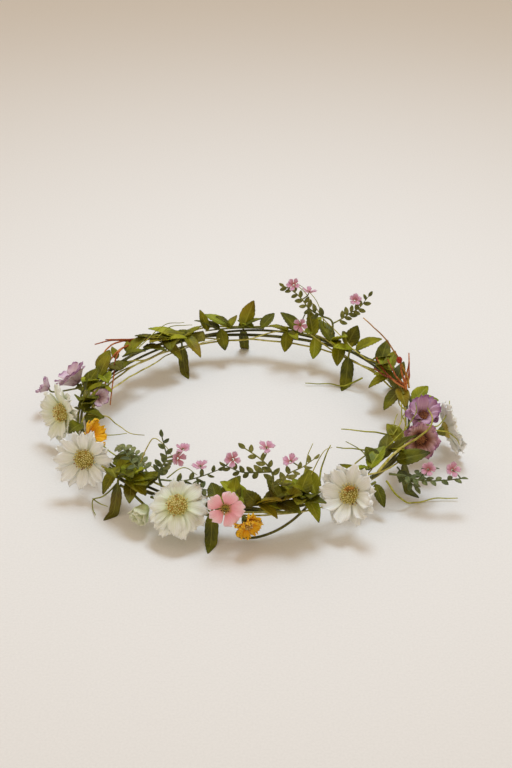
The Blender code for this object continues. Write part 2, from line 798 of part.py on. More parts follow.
# --- Twigs and grass --------------------------------------------------------------------------
# Each strand is a list of (angle, out, up) places; the first strand is the one the rest grow from.
TWIGS = {
    "twigs_left": (
        TWIG_RED,
        TWIG_RADIUS,
        (
            (
                (128, 0.0045, 0.0045), (137, 0.0055, 0.0060), (146, 0.0020, 0.0068),
                (156, -0.0060, 0.0040), (168, -0.0105, -0.0060),
            ),
            ((131, 0.0048, 0.0048), (139, 0.0090, 0.0080), (146, 0.0110, 0.0060), (150, 0.0090, -0.0040)),
            ((134, 0.0050, 0.0055), (140, 0.0130, 0.0080), (145, 0.0200, 0.0070)),
        ),
    ),
    "twigs_right": (
        TWIG_RED,
        TWIG_RADIUS,
        (
            ((9, -0.0010, 0.0062), (14, 0.0015, 0.0072), (20, 0.0045, 0.0080), (27, 0.0060, 0.0095)),
            (
                (10, -0.0008, 0.0064), (13, -0.0040, 0.0120), (19, -0.0045, 0.0185),
                (26, -0.0085, 0.0280), (33, -0.0130, 0.0360),
            ),
            ((11, -0.0004, 0.0066), (14, -0.0010, 0.0120), (18, 0.0, 0.0170)),
        ),
    ),
    "grass_right": (
        STRAW_GREEN,
        STRAW_RADIUS,
        (
            ((-34, -0.0048, 0.0020), (-28, -0.0062, 0.0060), (-18, -0.0040, 0.0105), (-12, -0.0060, 0.0170)),
            ((-31, -0.0056, 0.0040), (-38, -0.0140, 0.0060), (-46, -0.0235, 0.0080)),
            ((-25, -0.0055, 0.0080), (-32, -0.0170, 0.0120), (-40, -0.0265, 0.0150)),
        ),
    ),
}


def build_twigs(name, look, radius, strands):
    pieces = []
    root = hoop_point(*strands[0][0])
    for number, places in enumerate(strands):
        path = smooth_path([hoop_point(*p) - root for p in places], 3)
        pieces.append(tube(f"{name}_{number}", path, radius))
    solid = fused(name, pieces, look)
    solid.location = root


def main():
    clear_scene()
    build_hoop()
    build_straw_ring()
    build_tapes()
    for name, flower in COSMOS.items():
        build_cosmos(name, *flower)
    for name, flower in THREADED.items():
        build_threaded(name, *flower)
    build_bud()
    for name, spray in SPRAYS.items():
        build_spray(name, spray)
    for name, sprig in LEAF_SPRIGS.items():
        build_leaf_sprig(name, *sprig)
    for name, (look, radius, strands) in TWIGS.items():
        build_twigs(name, look, radius, strands)


main()
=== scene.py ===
import json
import math
import random

import bpy
from mathutils import Matrix, Quaternion, Vector, noise


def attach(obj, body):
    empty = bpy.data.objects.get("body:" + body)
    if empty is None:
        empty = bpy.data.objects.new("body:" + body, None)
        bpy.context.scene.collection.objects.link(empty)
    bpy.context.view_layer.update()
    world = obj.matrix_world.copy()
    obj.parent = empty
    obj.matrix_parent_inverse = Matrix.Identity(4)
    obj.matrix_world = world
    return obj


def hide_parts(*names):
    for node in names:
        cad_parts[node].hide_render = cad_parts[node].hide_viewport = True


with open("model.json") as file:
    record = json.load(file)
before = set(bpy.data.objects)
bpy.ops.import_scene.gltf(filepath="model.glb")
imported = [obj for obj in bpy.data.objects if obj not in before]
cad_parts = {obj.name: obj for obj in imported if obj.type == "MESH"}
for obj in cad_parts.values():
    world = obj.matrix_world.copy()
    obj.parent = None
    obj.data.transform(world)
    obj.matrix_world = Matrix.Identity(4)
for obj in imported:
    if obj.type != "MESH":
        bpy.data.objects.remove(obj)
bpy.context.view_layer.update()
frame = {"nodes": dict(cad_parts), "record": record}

# A flower crown of cloth flowers, leaf sprigs, moulded sprays, twigs and straw on a wire hoop.
# Places on it are told by the angle round the hoop, and by how far out and up from its wires.

# --- The hoop's measures, in metres ---------------------------------------------------------------
HOOP_RADIUS = 0.0900
HOOP_HEIGHT = 0.0170
WIRE_RADIUS = 0.0009
LOOP_WIRE_RADIUS = 0.0007
TWIST_RADIUS = 0.0016
TWIST_TURNS = 3
STEM_LANE = 0.0044
STEM_RADIUS = 0.0007
PETAL_CLOTH = 0.00028  # thickness of a petal's cloth
LEAF_CLOTH = 0.00035  # thickness of a leaf's cloth
MM = 0.001
UP = Vector((0, 0, 1))
GOLDEN_ANGLE = 2.39996  # radians between one stamen and the next, so that they fill a button evenly


# --- Colour and shader nodes ----------------------------------------------------------------------
def linear(hex_colour, alpha=1.0):
    """An sRGB hex colour as linear RGBA."""
    channels = [int(hex_colour[i : i + 2], 16) / 255 for i in (1, 3, 5)]
    flat = [c / 12.92 if c <= 0.04045 else ((c + 0.055) / 1.055) ** 2.4 for c in channels]
    return (*flat, alpha)


def add(tree, kind, settings=None, **sockets):
    """One node with its settings; each socket gets a value or is linked from another's output."""
    made = tree.nodes.new(kind)
    for key, value in (settings or {}).items():
        setattr(made, key, value)
    for key, value in sockets.items():
        name = key.replace("_", " ")
        place = made.inputs[int(key[1:])] if key[0] == "i" and key[1:].isdigit() else made.inputs[name]
        if isinstance(value, bpy.types.NodeSocket):
            tree.links.new(value, place)
        else:
            place.default_value = value
    return made


def new_finish(name):
    made = bpy.data.materials.new(name)
    made.use_nodes = True
    tree = made.node_tree
    tree.nodes.clear()
    return made, tree


def stops(node, *colours):
    """Sets a ramp's stops from (place, hex colour) pairs."""
    ramp = node.color_ramp
    while len(ramp.elements) > 1:
        ramp.elements.remove(ramp.elements[-1])
    ramp.elements[0].position = colours[0][0]
    ramp.elements[0].color = linear(colours[0][1])
    for place, colour in colours[1:]:
        ramp.elements.new(place).color = linear(colour)
    return node


def shader(tree, settings, **linked):
    """The Principled shader with its constant settings, and the output."""
    surface = add(tree, "ShaderNodeBsdfPrincipled")
    for key, value in settings.items():
        surface.inputs[key].default_value = value
    for key, value in linked.items():
        tree.links.new(value, surface.inputs[key.replace("_", " ")])
    out = add(tree, "ShaderNodeOutputMaterial")
    tree.links.new(surface.outputs[0], out.inputs[0])
    return surface


def petal_cloth(name, along, streak, streak_strength, sheen=0.35, glow=0.12):
    """Heat-formed polyester cloth: colour runs from throat to rim, dyed streaks follow the pleats."""
    made, tree = new_finish(name)
    uv = add(tree, "ShaderNodeUVMap").outputs["UV"]
    object_space = add(tree, "ShaderNodeTexCoord").outputs["Object"]
    split = add(tree, "ShaderNodeSeparateXYZ", Vector=uv)
    # blotches of dye about 6 mm across
    dye = add(tree, "ShaderNodeTexNoise", Vector=object_space, Scale=170.0, Detail=3.0)
    # streaks a millimetre or so wide that run from throat to rim
    stretch = add(tree, "ShaderNodeMapping", Vector=uv, Scale=(15.0, 1.1, 1.0))
    streaks = add(tree, "ShaderNodeTexNoise", Vector=stretch.outputs[0], Scale=1.0, Detail=4.0)
    wander = add(
        tree, "ShaderNodeMath", {"operation": "MULTIPLY_ADD"}, i0=dye.outputs[0], i1=0.16, i2=-0.08
    )
    reach = add(tree, "ShaderNodeMath", {"operation": "ADD"}, i0=split.outputs[1], i1=wander.outputs[0])
    base = stops(add(tree, "ShaderNodeValToRGB", Fac=reach.outputs[0]), *along)
    where = add(
        tree, "ShaderNodeMapRange", Value=streaks.outputs[0], i1=0.42, i2=0.72, i3=0.0, i4=streak_strength
    )
    colour = add(
        tree, "ShaderNodeMix", {"data_type": "RGBA"},
        i0=where.outputs[0], i6=base.outputs[0], i7=linear(streak),
    )
    # a plain weave of 0.35 mm threads, the finest that shows
    weave = add(
        tree, "ShaderNodeTexWave", {"wave_type": "BANDS", "bands_direction": "DIAGONAL"},
        Vector=object_space, Scale=900.0, Distortion=1.5, Detail=1.0,
    )
    relief = add(tree, "ShaderNodeMath", {"operation": "MULTIPLY_ADD"}, i0=weave.outputs[1], i1=0.12, i2=0.0)
    pleats = add(
        tree, "ShaderNodeMath", {"operation": "ADD"}, i0=streaks.outputs[0], i1=relief.outputs[0]
    )
    bump = add(tree, "ShaderNodeBump", Strength=0.55, Distance=0.0006, Height=pleats.outputs[0])
    rough = add(tree, "ShaderNodeMapRange", Value=dye.outputs[0], i3=0.62, i4=0.85)
    shader(
        tree,
        {
            "Sheen Weight": sheen,
            "Sheen Roughness": 0.4,
            "Specular IOR Level": 0.25,
            "Subsurface Weight": glow,
            "Subsurface Radius": (0.9, 0.8, 0.6),
            "Subsurface Scale": 0.002,
        },
        Base_Color=colour.outputs[2],
        Roughness=rough.outputs[0],
        Normal=bump.outputs[0],
    )
    return made


def leaf_cloth(name, dark, mid, light, vein, tint, tint_reach, gloss=0.42):
    """Pressed polyester leaf with a thin waxy coat: raised veins, and patches of light and dark green at
    random, partly the leaf's own tone and partly painted highlights.
    """
    made, tree = new_finish(name)
    uv = add(tree, "ShaderNodeUVMap").outputs["UV"]
    object_space = add(tree, "ShaderNodeTexCoord").outputs["Object"]
    split = add(tree, "ShaderNodeSeparateXYZ", Vector=uv)
    centred = add(tree, "ShaderNodeMath", {"operation": "SUBTRACT"}, i0=split.outputs[0], i1=0.5)
    aside = add(tree, "ShaderNodeMath", {"operation": "ABSOLUTE"}, i0=centred.outputs[0])
    # side veins leave the midrib slanting forward, eight pairs to a leaf
    slant = add(
        tree, "ShaderNodeMath", {"operation": "MULTIPLY_ADD"},
        i0=aside.outputs[0], i1=-0.55, i2=split.outputs[1],
    )
    turns = add(tree, "ShaderNodeMath", {"operation": "MULTIPLY"}, i0=slant.outputs[0], i1=50.0)
    wave = add(tree, "ShaderNodeMath", {"operation": "SINE"}, i0=turns.outputs[0])
    side_vein = add(tree, "ShaderNodeMapRange", Value=wave.outputs[0], i1=0.80, i2=1.0, i3=0.0, i4=0.55)
    midrib = add(tree, "ShaderNodeMapRange", Value=aside.outputs[0], i1=0.015, i2=0.06, i3=1.0, i4=0.0)
    veins = add(
        tree, "ShaderNodeMath", {"operation": "MAXIMUM"}, i0=side_vein.outputs[0], i1=midrib.outputs[0]
    )
    # patches about 10 mm across, dark to light green: partly the leaf's own tone, and the light ones partly
    # painted highlights
    tone_and_highlight_patch = add(tree, "ShaderNodeTexNoise", Vector=object_space, Scale=95.0, Detail=3.0, Roughness=0.6)
    base = stops(
        add(tree, "ShaderNodeValToRGB", Fac=tone_and_highlight_patch.outputs[0]), (0.30, dark), (0.50, mid), (0.72, light)
    )
    broad = add(tree, "ShaderNodeTexNoise", Vector=object_space, Scale=38.0, Detail=1.0)
    aged = add(
        tree, "ShaderNodeMapRange", Value=broad.outputs[0], i1=0.56, i2=0.72, i3=0.0, i4=tint_reach
    )
    tinted = add(
        tree, "ShaderNodeMix", {"data_type": "RGBA"},
        i0=aged.outputs[0], i6=base.outputs[0], i7=linear(tint),
    )
    thin = add(tree, "ShaderNodeMath", {"operation": "MULTIPLY"}, i0=veins.outputs[0], i1=0.45)
    colour = add(
        tree, "ShaderNodeMix", {"data_type": "RGBA"},
        i0=thin.outputs[0], i6=tinted.outputs[2], i7=linear(vein),
    )
    weave = add(tree, "ShaderNodeTexNoise", Vector=object_space, Scale=1500.0, Detail=2.0)
    raised = add(
        tree, "ShaderNodeMath", {"operation": "MULTIPLY_ADD"},
        i0=weave.outputs[0], i1=0.35, i2=veins.outputs[0],
    )
    bump = add(tree, "ShaderNodeBump", Strength=0.6, Distance=0.0004, Height=raised.outputs[0])
    rough = add(tree, "ShaderNodeMapRange", Value=tone_and_highlight_patch.outputs[0], i3=gloss - 0.08, i4=gloss + 0.18)
    shader(
        tree,
        {"Specular IOR Level": 0.22},
        Base_Color=colour.outputs[2],
        Roughness=rough.outputs[0],
        Normal=bump.outputs[0],
    )
    return made


def mottled(name, low, mid, high, grain_mm, roughness, relief, stretch=(1.0, 1.0, 1.0), sheen=0.0):
    """Dull moulded, papered or dry woody stuff, mottled at this grain in millimetres."""
    made, tree = new_finish(name)
    object_space = add(tree, "ShaderNodeTexCoord").outputs["Object"]
    drawn = add(tree, "ShaderNodeMapping", Vector=object_space, Scale=stretch)
    grain = add(
        tree, "ShaderNodeTexNoise", Vector=drawn.outputs[0], Scale=1.0 / (grain_mm * MM), Detail=4.0
    )
    broad = add(tree, "ShaderNodeTexNoise", Vector=object_space, Scale=60.0, Detail=1.0)
    blend = add(tree, "ShaderNodeMath", {"operation": "ADD"}, i0=grain.outputs[0], i1=broad.outputs[0])
    half = add(tree, "ShaderNodeMath", {"operation": "MULTIPLY"}, i0=blend.outputs[0], i1=0.5)
    base = stops(
        add(tree, "ShaderNodeValToRGB", Fac=half.outputs[0]), (0.38, low), (0.5, mid), (0.62, high)
    )
    bump = add(tree, "ShaderNodeBump", Strength=0.7, Distance=relief, Height=grain.outputs[0])
    rough = add(
        tree, "ShaderNodeMapRange", Value=grain.outputs[0], i3=roughness - 0.1, i4=roughness + 0.1
    )
    shader(
        tree,
        {"Sheen Weight": sheen, "Specular IOR Level": 0.35},
        Base_Color=base.outputs[0],
        Roughness=rough.outputs[0],
        Normal=bump.outputs[0],
    )
    return made


# cloth flowers: matt, the weave just shows, edges let a little light through
DAISY_CLOTH = petal_cloth(
    "white_polyester_petal",
    ((0.0, "#A8B048"), (0.12, "#D6DA98"), (0.28, "#F0F2DE"), (0.7, "#FCFCF8"), (1.0, "#FDFDFA")),
    "#E2E4CC", 0.5, 0.35, 0.25,
)
DAISY_CREAM = petal_cloth(
    "cream_green_polyester_petal",
    ((0.0, "#98A63A"), (0.2, "#CAD384"), (0.42, "#E9EDCC"), (0.75, "#F7F8EA"), (1.0, "#FCFBF4")),
    "#D6DCAE", 0.6, 0.35, 0.25,
)
ANEMONE_DARK = petal_cloth(
    "mauve_polyester_petal",
    (
        (0.0, "#30120A"), (0.25, "#5E3020"), (0.42, "#A06A52"),
        (0.66, "#D8B0AE"), (0.90, "#D4A2BC"), (1.0, "#965A8C"),
    ),
    "#8E5850", 0.55,
)
ANEMONE_PALE = petal_cloth(
    "lilac_polyester_petal",
    ((0.0, "#7A4650"), (0.22, "#C8A4B0"), (0.60, "#EAD6DE"), (0.86, "#DCBCD2"), (1.0, "#8A4E84")),
    "#BC94B0", 0.5,
)
ANEMONE_LILAC = petal_cloth(
    "violet_polyester_petal",
    ((0.0, "#3A1A14"), (0.2, "#9C6C74"), (0.50, "#DCB8CC"), (0.85, "#CCA0C4"), (1.0, "#8C5490")),
    "#A4749C", 0.55,
)
ROSE_CLOTH = petal_cloth(
    "rose_pink_polyester_petal",
    ((0.0, "#D8C048"), (0.14, "#EEB078"), (0.28, "#FFACB8"), (0.66, "#FFC8D0"), (1.0, "#FFE6E8")),
    "#F4869E", 0.45,
)
MARIGOLD_CLOTH = petal_cloth(
    "orange_yellow_polyester_petal",
    ((0.0, "#D47A06"), (0.3, "#FAA80A"), (0.65, "#FFC824"), (1.0, "#FFC41C")),
    "#E08808", 0.5, 0.3, 0.3,
)
BLOSSOM_CLOTH = petal_cloth(
    "mauve_pink_blossom_cloth",
    ((0.0, "#C07848"), (0.2, "#D08894"), (0.6, "#E0A8C2"), (1.0, "#EEC8DA")),
    "#A85A80", 0.6,
)
BUD_CLOTH = petal_cloth(
    "green_white_bud_cloth",
    ((0.0, "#98A83E"), (0.35, "#CDD690"), (0.75, "#E8ECC8"), (1.0, "#F2F2DC")),
    "#B4C274", 0.6,
)
# pressed leaves: olive, a thin waxy coat that catches the light along the folds
# each leaf gives dark, mid and light patch greens, then vein and tint: the light green is partly a painted
# highlight
LEAF_OLIVE = leaf_cloth(
    "olive_polyester_leaf", "#4A4A02", "#7A7803", "#A09C12", "#B2AC3C", "#9C7016", 0.4
)
LEAF_DEEP = leaf_cloth(
    "deep_green_polyester_leaf", "#323402", "#5A5C03", "#7E7E10", "#94923A", "#744C0E", 0.3
)
LEAF_BRIGHT = leaf_cloth(
    "yellow_green_polyester_leaf", "#626E04", "#8E960C", "#B4B42A", "#C4C25C", "#A8921C", 0.25
)
# moulded sprays: dull sage polyethylene with a bloom
SPRAY_PLASTIC = mottled(
    "sage_moulded_polyethylene", "#3E481A", "#5C6630", "#84884E", 1.6, 0.62, 0.00015, sheen=0.15
)
SPRAY_OLIVE = mottled(
    "olive_moulded_polyethylene", "#4C5014", "#6E7026", "#94924A", 1.6, 0.62, 0.00015, sheen=0.15
)
STEM_PLASTIC = mottled(
    "green_moulded_stem", "#4A4E10", "#6A6C1E", "#8E8C38", 1.2, 0.6, 0.00015
)
# papered wire: matt, faintly ribbed by the paper's winding
WIRE_PAPER = mottled(
    "dark_green_papered_wire", "#30300A", "#52501A", "#757036", 0.7, 0.82, 0.0002, sheen=0.1
)
TAPE_PAPER = mottled(
    "waxed_crepe_tape", "#56540E", "#767218", "#98923C", 0.5, 0.75, 0.0003, (1.0, 1.0, 0.25)
)
# dry vine and grass: streaky straw and olive with a dry gloss
VINE_STRAW = mottled(
    "dry_vine_straw", "#857C1C", "#B2A83E", "#DAD08C", 2.2, 0.55, 0.0002
)
GRASS_STRAW = mottled(
    "yellow_green_grass", "#74760A", "#9A9A1C", "#C2BE4C", 2.5, 0.55, 0.00015
)
TWIG_BARK = mottled(
    "red_brown_twig_bark", "#6A2208", "#A04A14", "#CC8040", 1.4, 0.62, 0.0003
)
TWIG_GOLD = mottled(
    "golden_brown_twig_bark", "#7A4C10", "#A87424", "#CCA050", 1.4, 0.62, 0.0003
)
BERRY_RED = mottled(
    "dried_red_berry", "#8A1C08", "#C23C14", "#E07834", 1.2, 0.5, 0.0003
)
# stamens: flocked yellow threads, rusty tips
STAMEN_YELLOW = mottled(
    "flocked_yellow_stamen", "#C0AE48", "#E8DA84", "#F8F0B8", 0.6, 0.85, 0.0002, sheen=0.3
)
STAMEN_BED = mottled(
    "olive_brown_stamen_bed", "#8A7A28", "#B0A046", "#CCBC6A", 0.6, 0.85, 0.0002
)
STAMEN_RUST = mottled(
    "rusty_stamen_tip", "#7C4A0C", "#B07A1E", "#D4A040", 0.6, 0.8, 0.0002, sheen=0.2
)
STAMEN_GREEN = mottled(
    "green_flower_eye", "#7E721A", "#B09A32", "#D8C45C", 0.6, 0.8, 0.0002, sheen=0.2
)
EYE_COPPER = mottled(
    "copper_flower_eye", "#6A3416", "#A86A36", "#D09A60", 0.7, 0.75, 0.0003, sheen=0.2
)
EYE_BROWN = mottled(
    "brown_flower_eye", "#2A1206", "#54280E", "#9A5420", 0.7, 0.75, 0.0003, sheen=0.2
)


# --- Modelling by hand ----------------------------------------------------------------------------
def deselect():
    bpy.ops.object.select_all(action="DESELECT")


def only(obj):
    deselect()
    obj.select_set(True)
    bpy.context.view_layer.objects.active = obj


def applied(obj, kind, **settings):
    """Adds a modifier with these settings and applies it."""
    only(obj)
    made = obj.modifiers.new(kind.lower(), kind)
    for key, value in settings.items():
        setattr(made, key, value)
    bpy.ops.object.modifier_apply(modifier=made.name)
    return obj


def merged(obj, distance=1e-6):
    only(obj)
    bpy.ops.object.mode_set(mode="EDIT")
    bpy.ops.mesh.select_all(action="SELECT")
    bpy.ops.mesh.remove_doubles(threshold=distance)
    bpy.ops.mesh.normals_make_consistent(inside=False)
    bpy.ops.object.mode_set(mode="OBJECT")
    return obj


def copied(obj, matrix):
    """A copy with its own mesh, put in its place in the mesh."""
    twin = obj.copy()
    twin.data = obj.data.copy()
    twin.data.transform(matrix)
    bpy.context.collection.objects.link(twin)
    return twin


def gathered(name, objects):
    """One piece of these objects."""
    deselect()
    for obj in objects:
        obj.select_set(True)
    bpy.context.view_layer.objects.active = objects[0]
    if len(objects) > 1:
        bpy.ops.object.join()
    piece = bpy.context.view_layer.objects.active
    piece.name = name
    piece.data.name = name
    return piece


def paint(obj, finish):
    obj.data.materials.clear()
    obj.data.materials.append(finish)
    return obj


def placed(piece, body, slot_name, *nodes):
    """Shades the piece smooth, hangs it on its body and lets it stand for these nodes."""
    only(piece)
    bpy.ops.object.shade_smooth()
    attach(piece, body)
    if nodes:
        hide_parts(*nodes)
    return piece


def cloth(name, across, along, shape, thickness):
    """A cut piece of cloth: a grid whose points shape(u, t) places, u -1 to 1 and t 0 to 1."""
    deselect()
    bpy.ops.mesh.primitive_grid_add(x_subdivisions=across, y_subdivisions=along, size=2.0)
    sheet = bpy.context.object
    sheet.name = name
    for vert in sheet.data.vertices:
        vert.co = shape(vert.co.x, (vert.co.y + 1) / 2)
    return applied(sheet, "SOLIDIFY", thickness=thickness, offset=0.0)


def strand(name, points, radius, ends=(1.0, 1.0), sides=2, waist=None):
    """A round strand along the points; ends scales its radius at the start and the end."""
    line = bpy.data.curves.new(name, "CURVE")
    line.dimensions = "3D"
    line.bevel_depth = radius
    line.bevel_resolution = sides
    line.use_fill_caps = True
    spline = line.splines.new("POLY")
    spline.points.add(len(points) - 1)
    for number, (knot, point) in enumerate(zip(spline.points, points)):
        share = number / (len(points) - 1)
        knot.co = (*point, 1.0)
        knot.radius = ends[0] + (ends[1] - ends[0]) * share
        if waist:
            knot.radius *= waist(share)
    obj = bpy.data.objects.new(name, line)
    bpy.context.collection.objects.link(obj)
    only(obj)
    bpy.ops.object.convert(target="MESH")
    return merged(bpy.context.object)


def ball(name, place, size, rings=6, segments=8):
    deselect()
    bpy.ops.mesh.primitive_uv_sphere_add(segments=segments, ring_count=rings, radius=1.0)
    made = bpy.context.object
    made.name = name
    made.data.transform(Matrix.Translation(place) @ Matrix.Diagonal((*size, 1.0)))
    return made


# --- Places ---------------------------------------------------------------------------------------
def hoop_point(angle, out=0.0, up=0.0):
    a = math.radians(angle)
    reach = HOOP_RADIUS + out
    return Vector((reach * math.cos(a), reach * math.sin(a), HOOP_HEIGHT + up))


def lane_point(angle, lane, radius=STEM_LANE):
    """Beside the twisted wires: lane 0 is outwards, 90 on top, 180 inwards."""
    side = math.radians(lane)
    return hoop_point(angle, radius * math.cos(side), radius * math.sin(side))


def heading(azimuth, elevation):
    a, e = math.radians(azimuth), math.radians(elevation)
    return Vector((math.cos(e) * math.cos(a), math.cos(e) * math.sin(a), math.sin(e)))


def seat_matrix(point, facing):
    return Matrix.Translation(point) @ facing.to_track_quat("Z", "Y").to_matrix().to_4x4()


def smooth_path(points, steps):
    """A smooth curve through the points, with this many steps between neighbours."""
    ends = [2 * points[0] - points[1], *points, 2 * points[-1] - points[-2]]
    path = []
    for i in range(1, len(ends) - 2):
        p0, p1, p2, p3 = ends[i - 1 : i + 3]
        for k in range(steps):
            t = k / steps
            path.append(
                0.5
                * (
                    2 * p1
                    + (p2 - p0) * t
                    + (2 * p0 - 5 * p1 + 4 * p2 - p3) * t**2
                    + (3 * p1 - p0 - 3 * p2 + p3) * t**3
                )
            )
    return path + [points[-1]]


def wobble(points, size, pitch):
    """The points shifted a little this way and that, as dry stalks wander."""
    return [p + size * noise.noise_vector(p * (1.0 / pitch)) for p in points]


seats = {}
for joint in frame["record"]["behaviour"]["joints"]:
    seats[joint["child"]] = seat_matrix(Vector(joint["pos_m"]), Vector(joint["axis"]))


# --- Petals ---------------------------------------------------------------------------------------
def ease(x):
    x = min(1.0, max(0.0, x))
    return x * x * (3 - 2 * x)


def petal(
    name, hole, reach, width, rise, arch, spoon, ruffle, teeth, seed, across=9, along=11, neck=0.3, notch=0.0
):
    """One petal that runs out along X from the hole, its face up."""
    draw = random.Random(seed)
    swing = draw.uniform(-1, 1)
    phase = draw.uniform(0, 6.28)
    lean = draw.uniform(-0.10, 0.10)
    stretch = draw.uniform(0.90, 1.0)
    dip = draw.uniform(-0.5, 0.5) * ruffle * 1.6

    def shape(u, t):
        breadth = 0.5 * width * (neck + (1 - neck) * ease(t / 0.66))
        breadth *= 1 - 0.40 * max(0.0, (t - 0.72) / 0.28) ** 2.2
        cut = teeth * (0.5 - 0.5 * math.cos(2 * math.pi * 1.5 * (u + 1)))
        dent = notch * math.exp(-((u / 0.22) ** 2)) * t**4
        tip = 1 - 0.20 * abs(u) ** 2.4 * t**3 - cut * t**5 - dent
        out = (reach * stretch - hole) * t * tip
        height = rise * t**1.6 + arch * math.sin(math.pi * t) + dip * t**3
        height += spoon * u * u * math.sin(math.pi * min(1.0, t + 0.15)) * breadth
        height += ruffle * t**2 * math.sin(5.2 * u + phase + 2.0 * t) * (0.4 + 0.6 * abs(u))
        height += 0.12 * ruffle * math.cos(9.4 * u) * math.sin(math.pi * t)
        side = u * breadth + (swing * 0.06 + lean * t) * out * 0.6
        return Vector((hole + out, side, height))

    return cloth(name, across, along, shape, PETAL_CLOTH)


def ring_of(name, finish, count, turn, seat, make, seed, spread=0.0, loose=0.10):
    """A ring of petals round the seat's axis; make(seed) gives one petal."""
    draw = random.Random(seed)
    kinds = [make(seed * 10 + k) for k in range(4)]
    petals = []
    for k in range(count):
        angle = 2 * math.pi * k / count + turn + draw.uniform(-spread, spread)
        tilt = Matrix.Rotation(draw.uniform(-0.16, 0.16), 4, "X")
        sway = Matrix.Rotation(draw.uniform(-loose, loose), 4, "Y")
        petals.append(copied(kinds[k % 4], seat @ Matrix.Rotation(angle, 4, "Z") @ tilt @ sway))
    for kind in kinds:
        bpy.data.objects.remove(kind)
    return paint(gathered(name, petals), finish)


def stamens(
    name, seat, radius, count, height, thread, head, finish, tip_finishes, seed, dome=0.35, rusty=0.3
):
    """A button of fine threads, each with a small head, standing on a low dome."""
    draw = random.Random(seed)
    kinds = []
    for tip_finish in tip_finishes:
        deselect()
        bpy.ops.mesh.primitive_cone_add(vertices=5, radius1=thread, radius2=thread * 0.7, depth=height)
        stalk = paint(bpy.context.object, finish)
        stalk.data.transform(Matrix.Translation((0, 0, height / 2)))
        tip = paint(ball("tip", (0, 0, height), (head, head, head * 1.25), 4, 6), tip_finish)
        kinds.append(gathered("stamen", [stalk, tip]))
    made = []
    for k in range(count):
        share = math.sqrt((k + 0.5) / count)
        angle = GOLDEN_ANGLE * k
        lean = share * 0.75 + draw.uniform(-0.16, 0.16)
        place = Matrix.Rotation(angle, 4, "Z") @ Matrix.Translation(
            (share * radius * 0.86, 0, dome * radius * (1 - share * share))
        )
        size = Matrix.Diagonal((1, 1, draw.uniform(0.70, 1.15), 1))
        kind = kinds[1 if draw.random() < rusty else 0]
        made.append(copied(kind, seat @ place @ Matrix.Rotation(lean, 4, "Y") @ size))
    for kind in kinds:
        bpy.data.objects.remove(kind)
    bed = (radius * 0.95, radius * 0.95, dome * radius)
    base = paint(ball("base", (0, 0, 0.02 * radius), bed, 8, 20), finish)
    base.data.transform(seat)
    return gathered(name, [*made, base])


# --- White daisies --------------------------------------------------------------------------------
# cloth, how far the petals rise from their foot to the rim, petal width, seed
DAISIES = {
    "cosmos_left_back": (DAISY_CREAM, 0.0050, 0.0072, 11),
    "cosmos_left": (DAISY_CLOTH, 0.0062, 0.0062, 23),
    "cosmos_front": (DAISY_CREAM, -0.0034, 0.0090, 37),
    "cosmos_front_right": (DAISY_CLOTH, 0.0062, 0.0084, 41),
    "cosmos_right": (DAISY_CLOTH, 0.0045, 0.0092, 53),
}
DAISY_REACH = 0.0162
DAISY_LAYER = 0.0008
DAISY_LAYER_CUP = 0.0012
DAISY_BOSS = 0.0052
head_sizes = {}

for kind, (finish, rise, wide, seed) in DAISIES.items():
    body = kind + "_head"
    seat = seats[body]
    head_sizes[body] = (DAISY_REACH, rise)
    front = ring_of(
        kind + "_front_petals", finish, 8, 0.0, seat,
        lambda s, high=rise: petal(
            "petal", 0.0012, DAISY_REACH, wide, high, 0.0015, 0.20, 0.0014, 0.07, s, 9, 12, 0.34
        ),
        seed, 0.09, 0.13,
    )
    placed(front, body, "white_petal", kind + "_petals_front")
    under = seat @ Matrix.Translation((0, 0, -DAISY_LAYER))
    back = ring_of(
        kind + "_back_petals", finish, 8, math.pi / 8, under,
        lambda s, high=rise - DAISY_LAYER_CUP: petal(
            "petal", 0.0012, DAISY_REACH * 1.04, wide * 1.04, high,
            0.0008, 0.16, 0.0014, 0.08, s, 9, 12, 0.34,
        ),
        seed + 1, 0.09, 0.11,
    )
    placed(back, body, "white_petal", kind + "_petals_back")
    raised = seat @ Matrix.Translation((0, 0, 0.0006))
    button = stamens(
        kind + "_stamens", raised, DAISY_BOSS, 110, 0.0019, 0.00012, 0.00036,
        STAMEN_BED, (STAMEN_YELLOW, STAMEN_RUST), seed, 0.6, 0.16,
    )
    if kind == "cosmos_front_right":
        # a tuft of rusty threads at the upper edge of the button
        draw = random.Random(seed)
        tuft = [
            ball(
                "tuft",
                (
                    0.0030 + draw.uniform(-0.0012, 0.0012),
                    draw.uniform(-0.0022, 0.0022),
                    0.0034 + draw.uniform(0, 0.0012),
                ),
                (0.0007, 0.0007, 0.0006), 5, 8,
            )
            for _ in range(12)
        ]
        tuft = paint(gathered("tuft", tuft), STAMEN_RUST)
        tuft.data.transform(raised @ Matrix.Rotation(math.radians(90), 4, "Z"))
        button = gathered(button.name, [button, tuft])
    placed(button, body, "stamen_yellow", kind + "_centre")


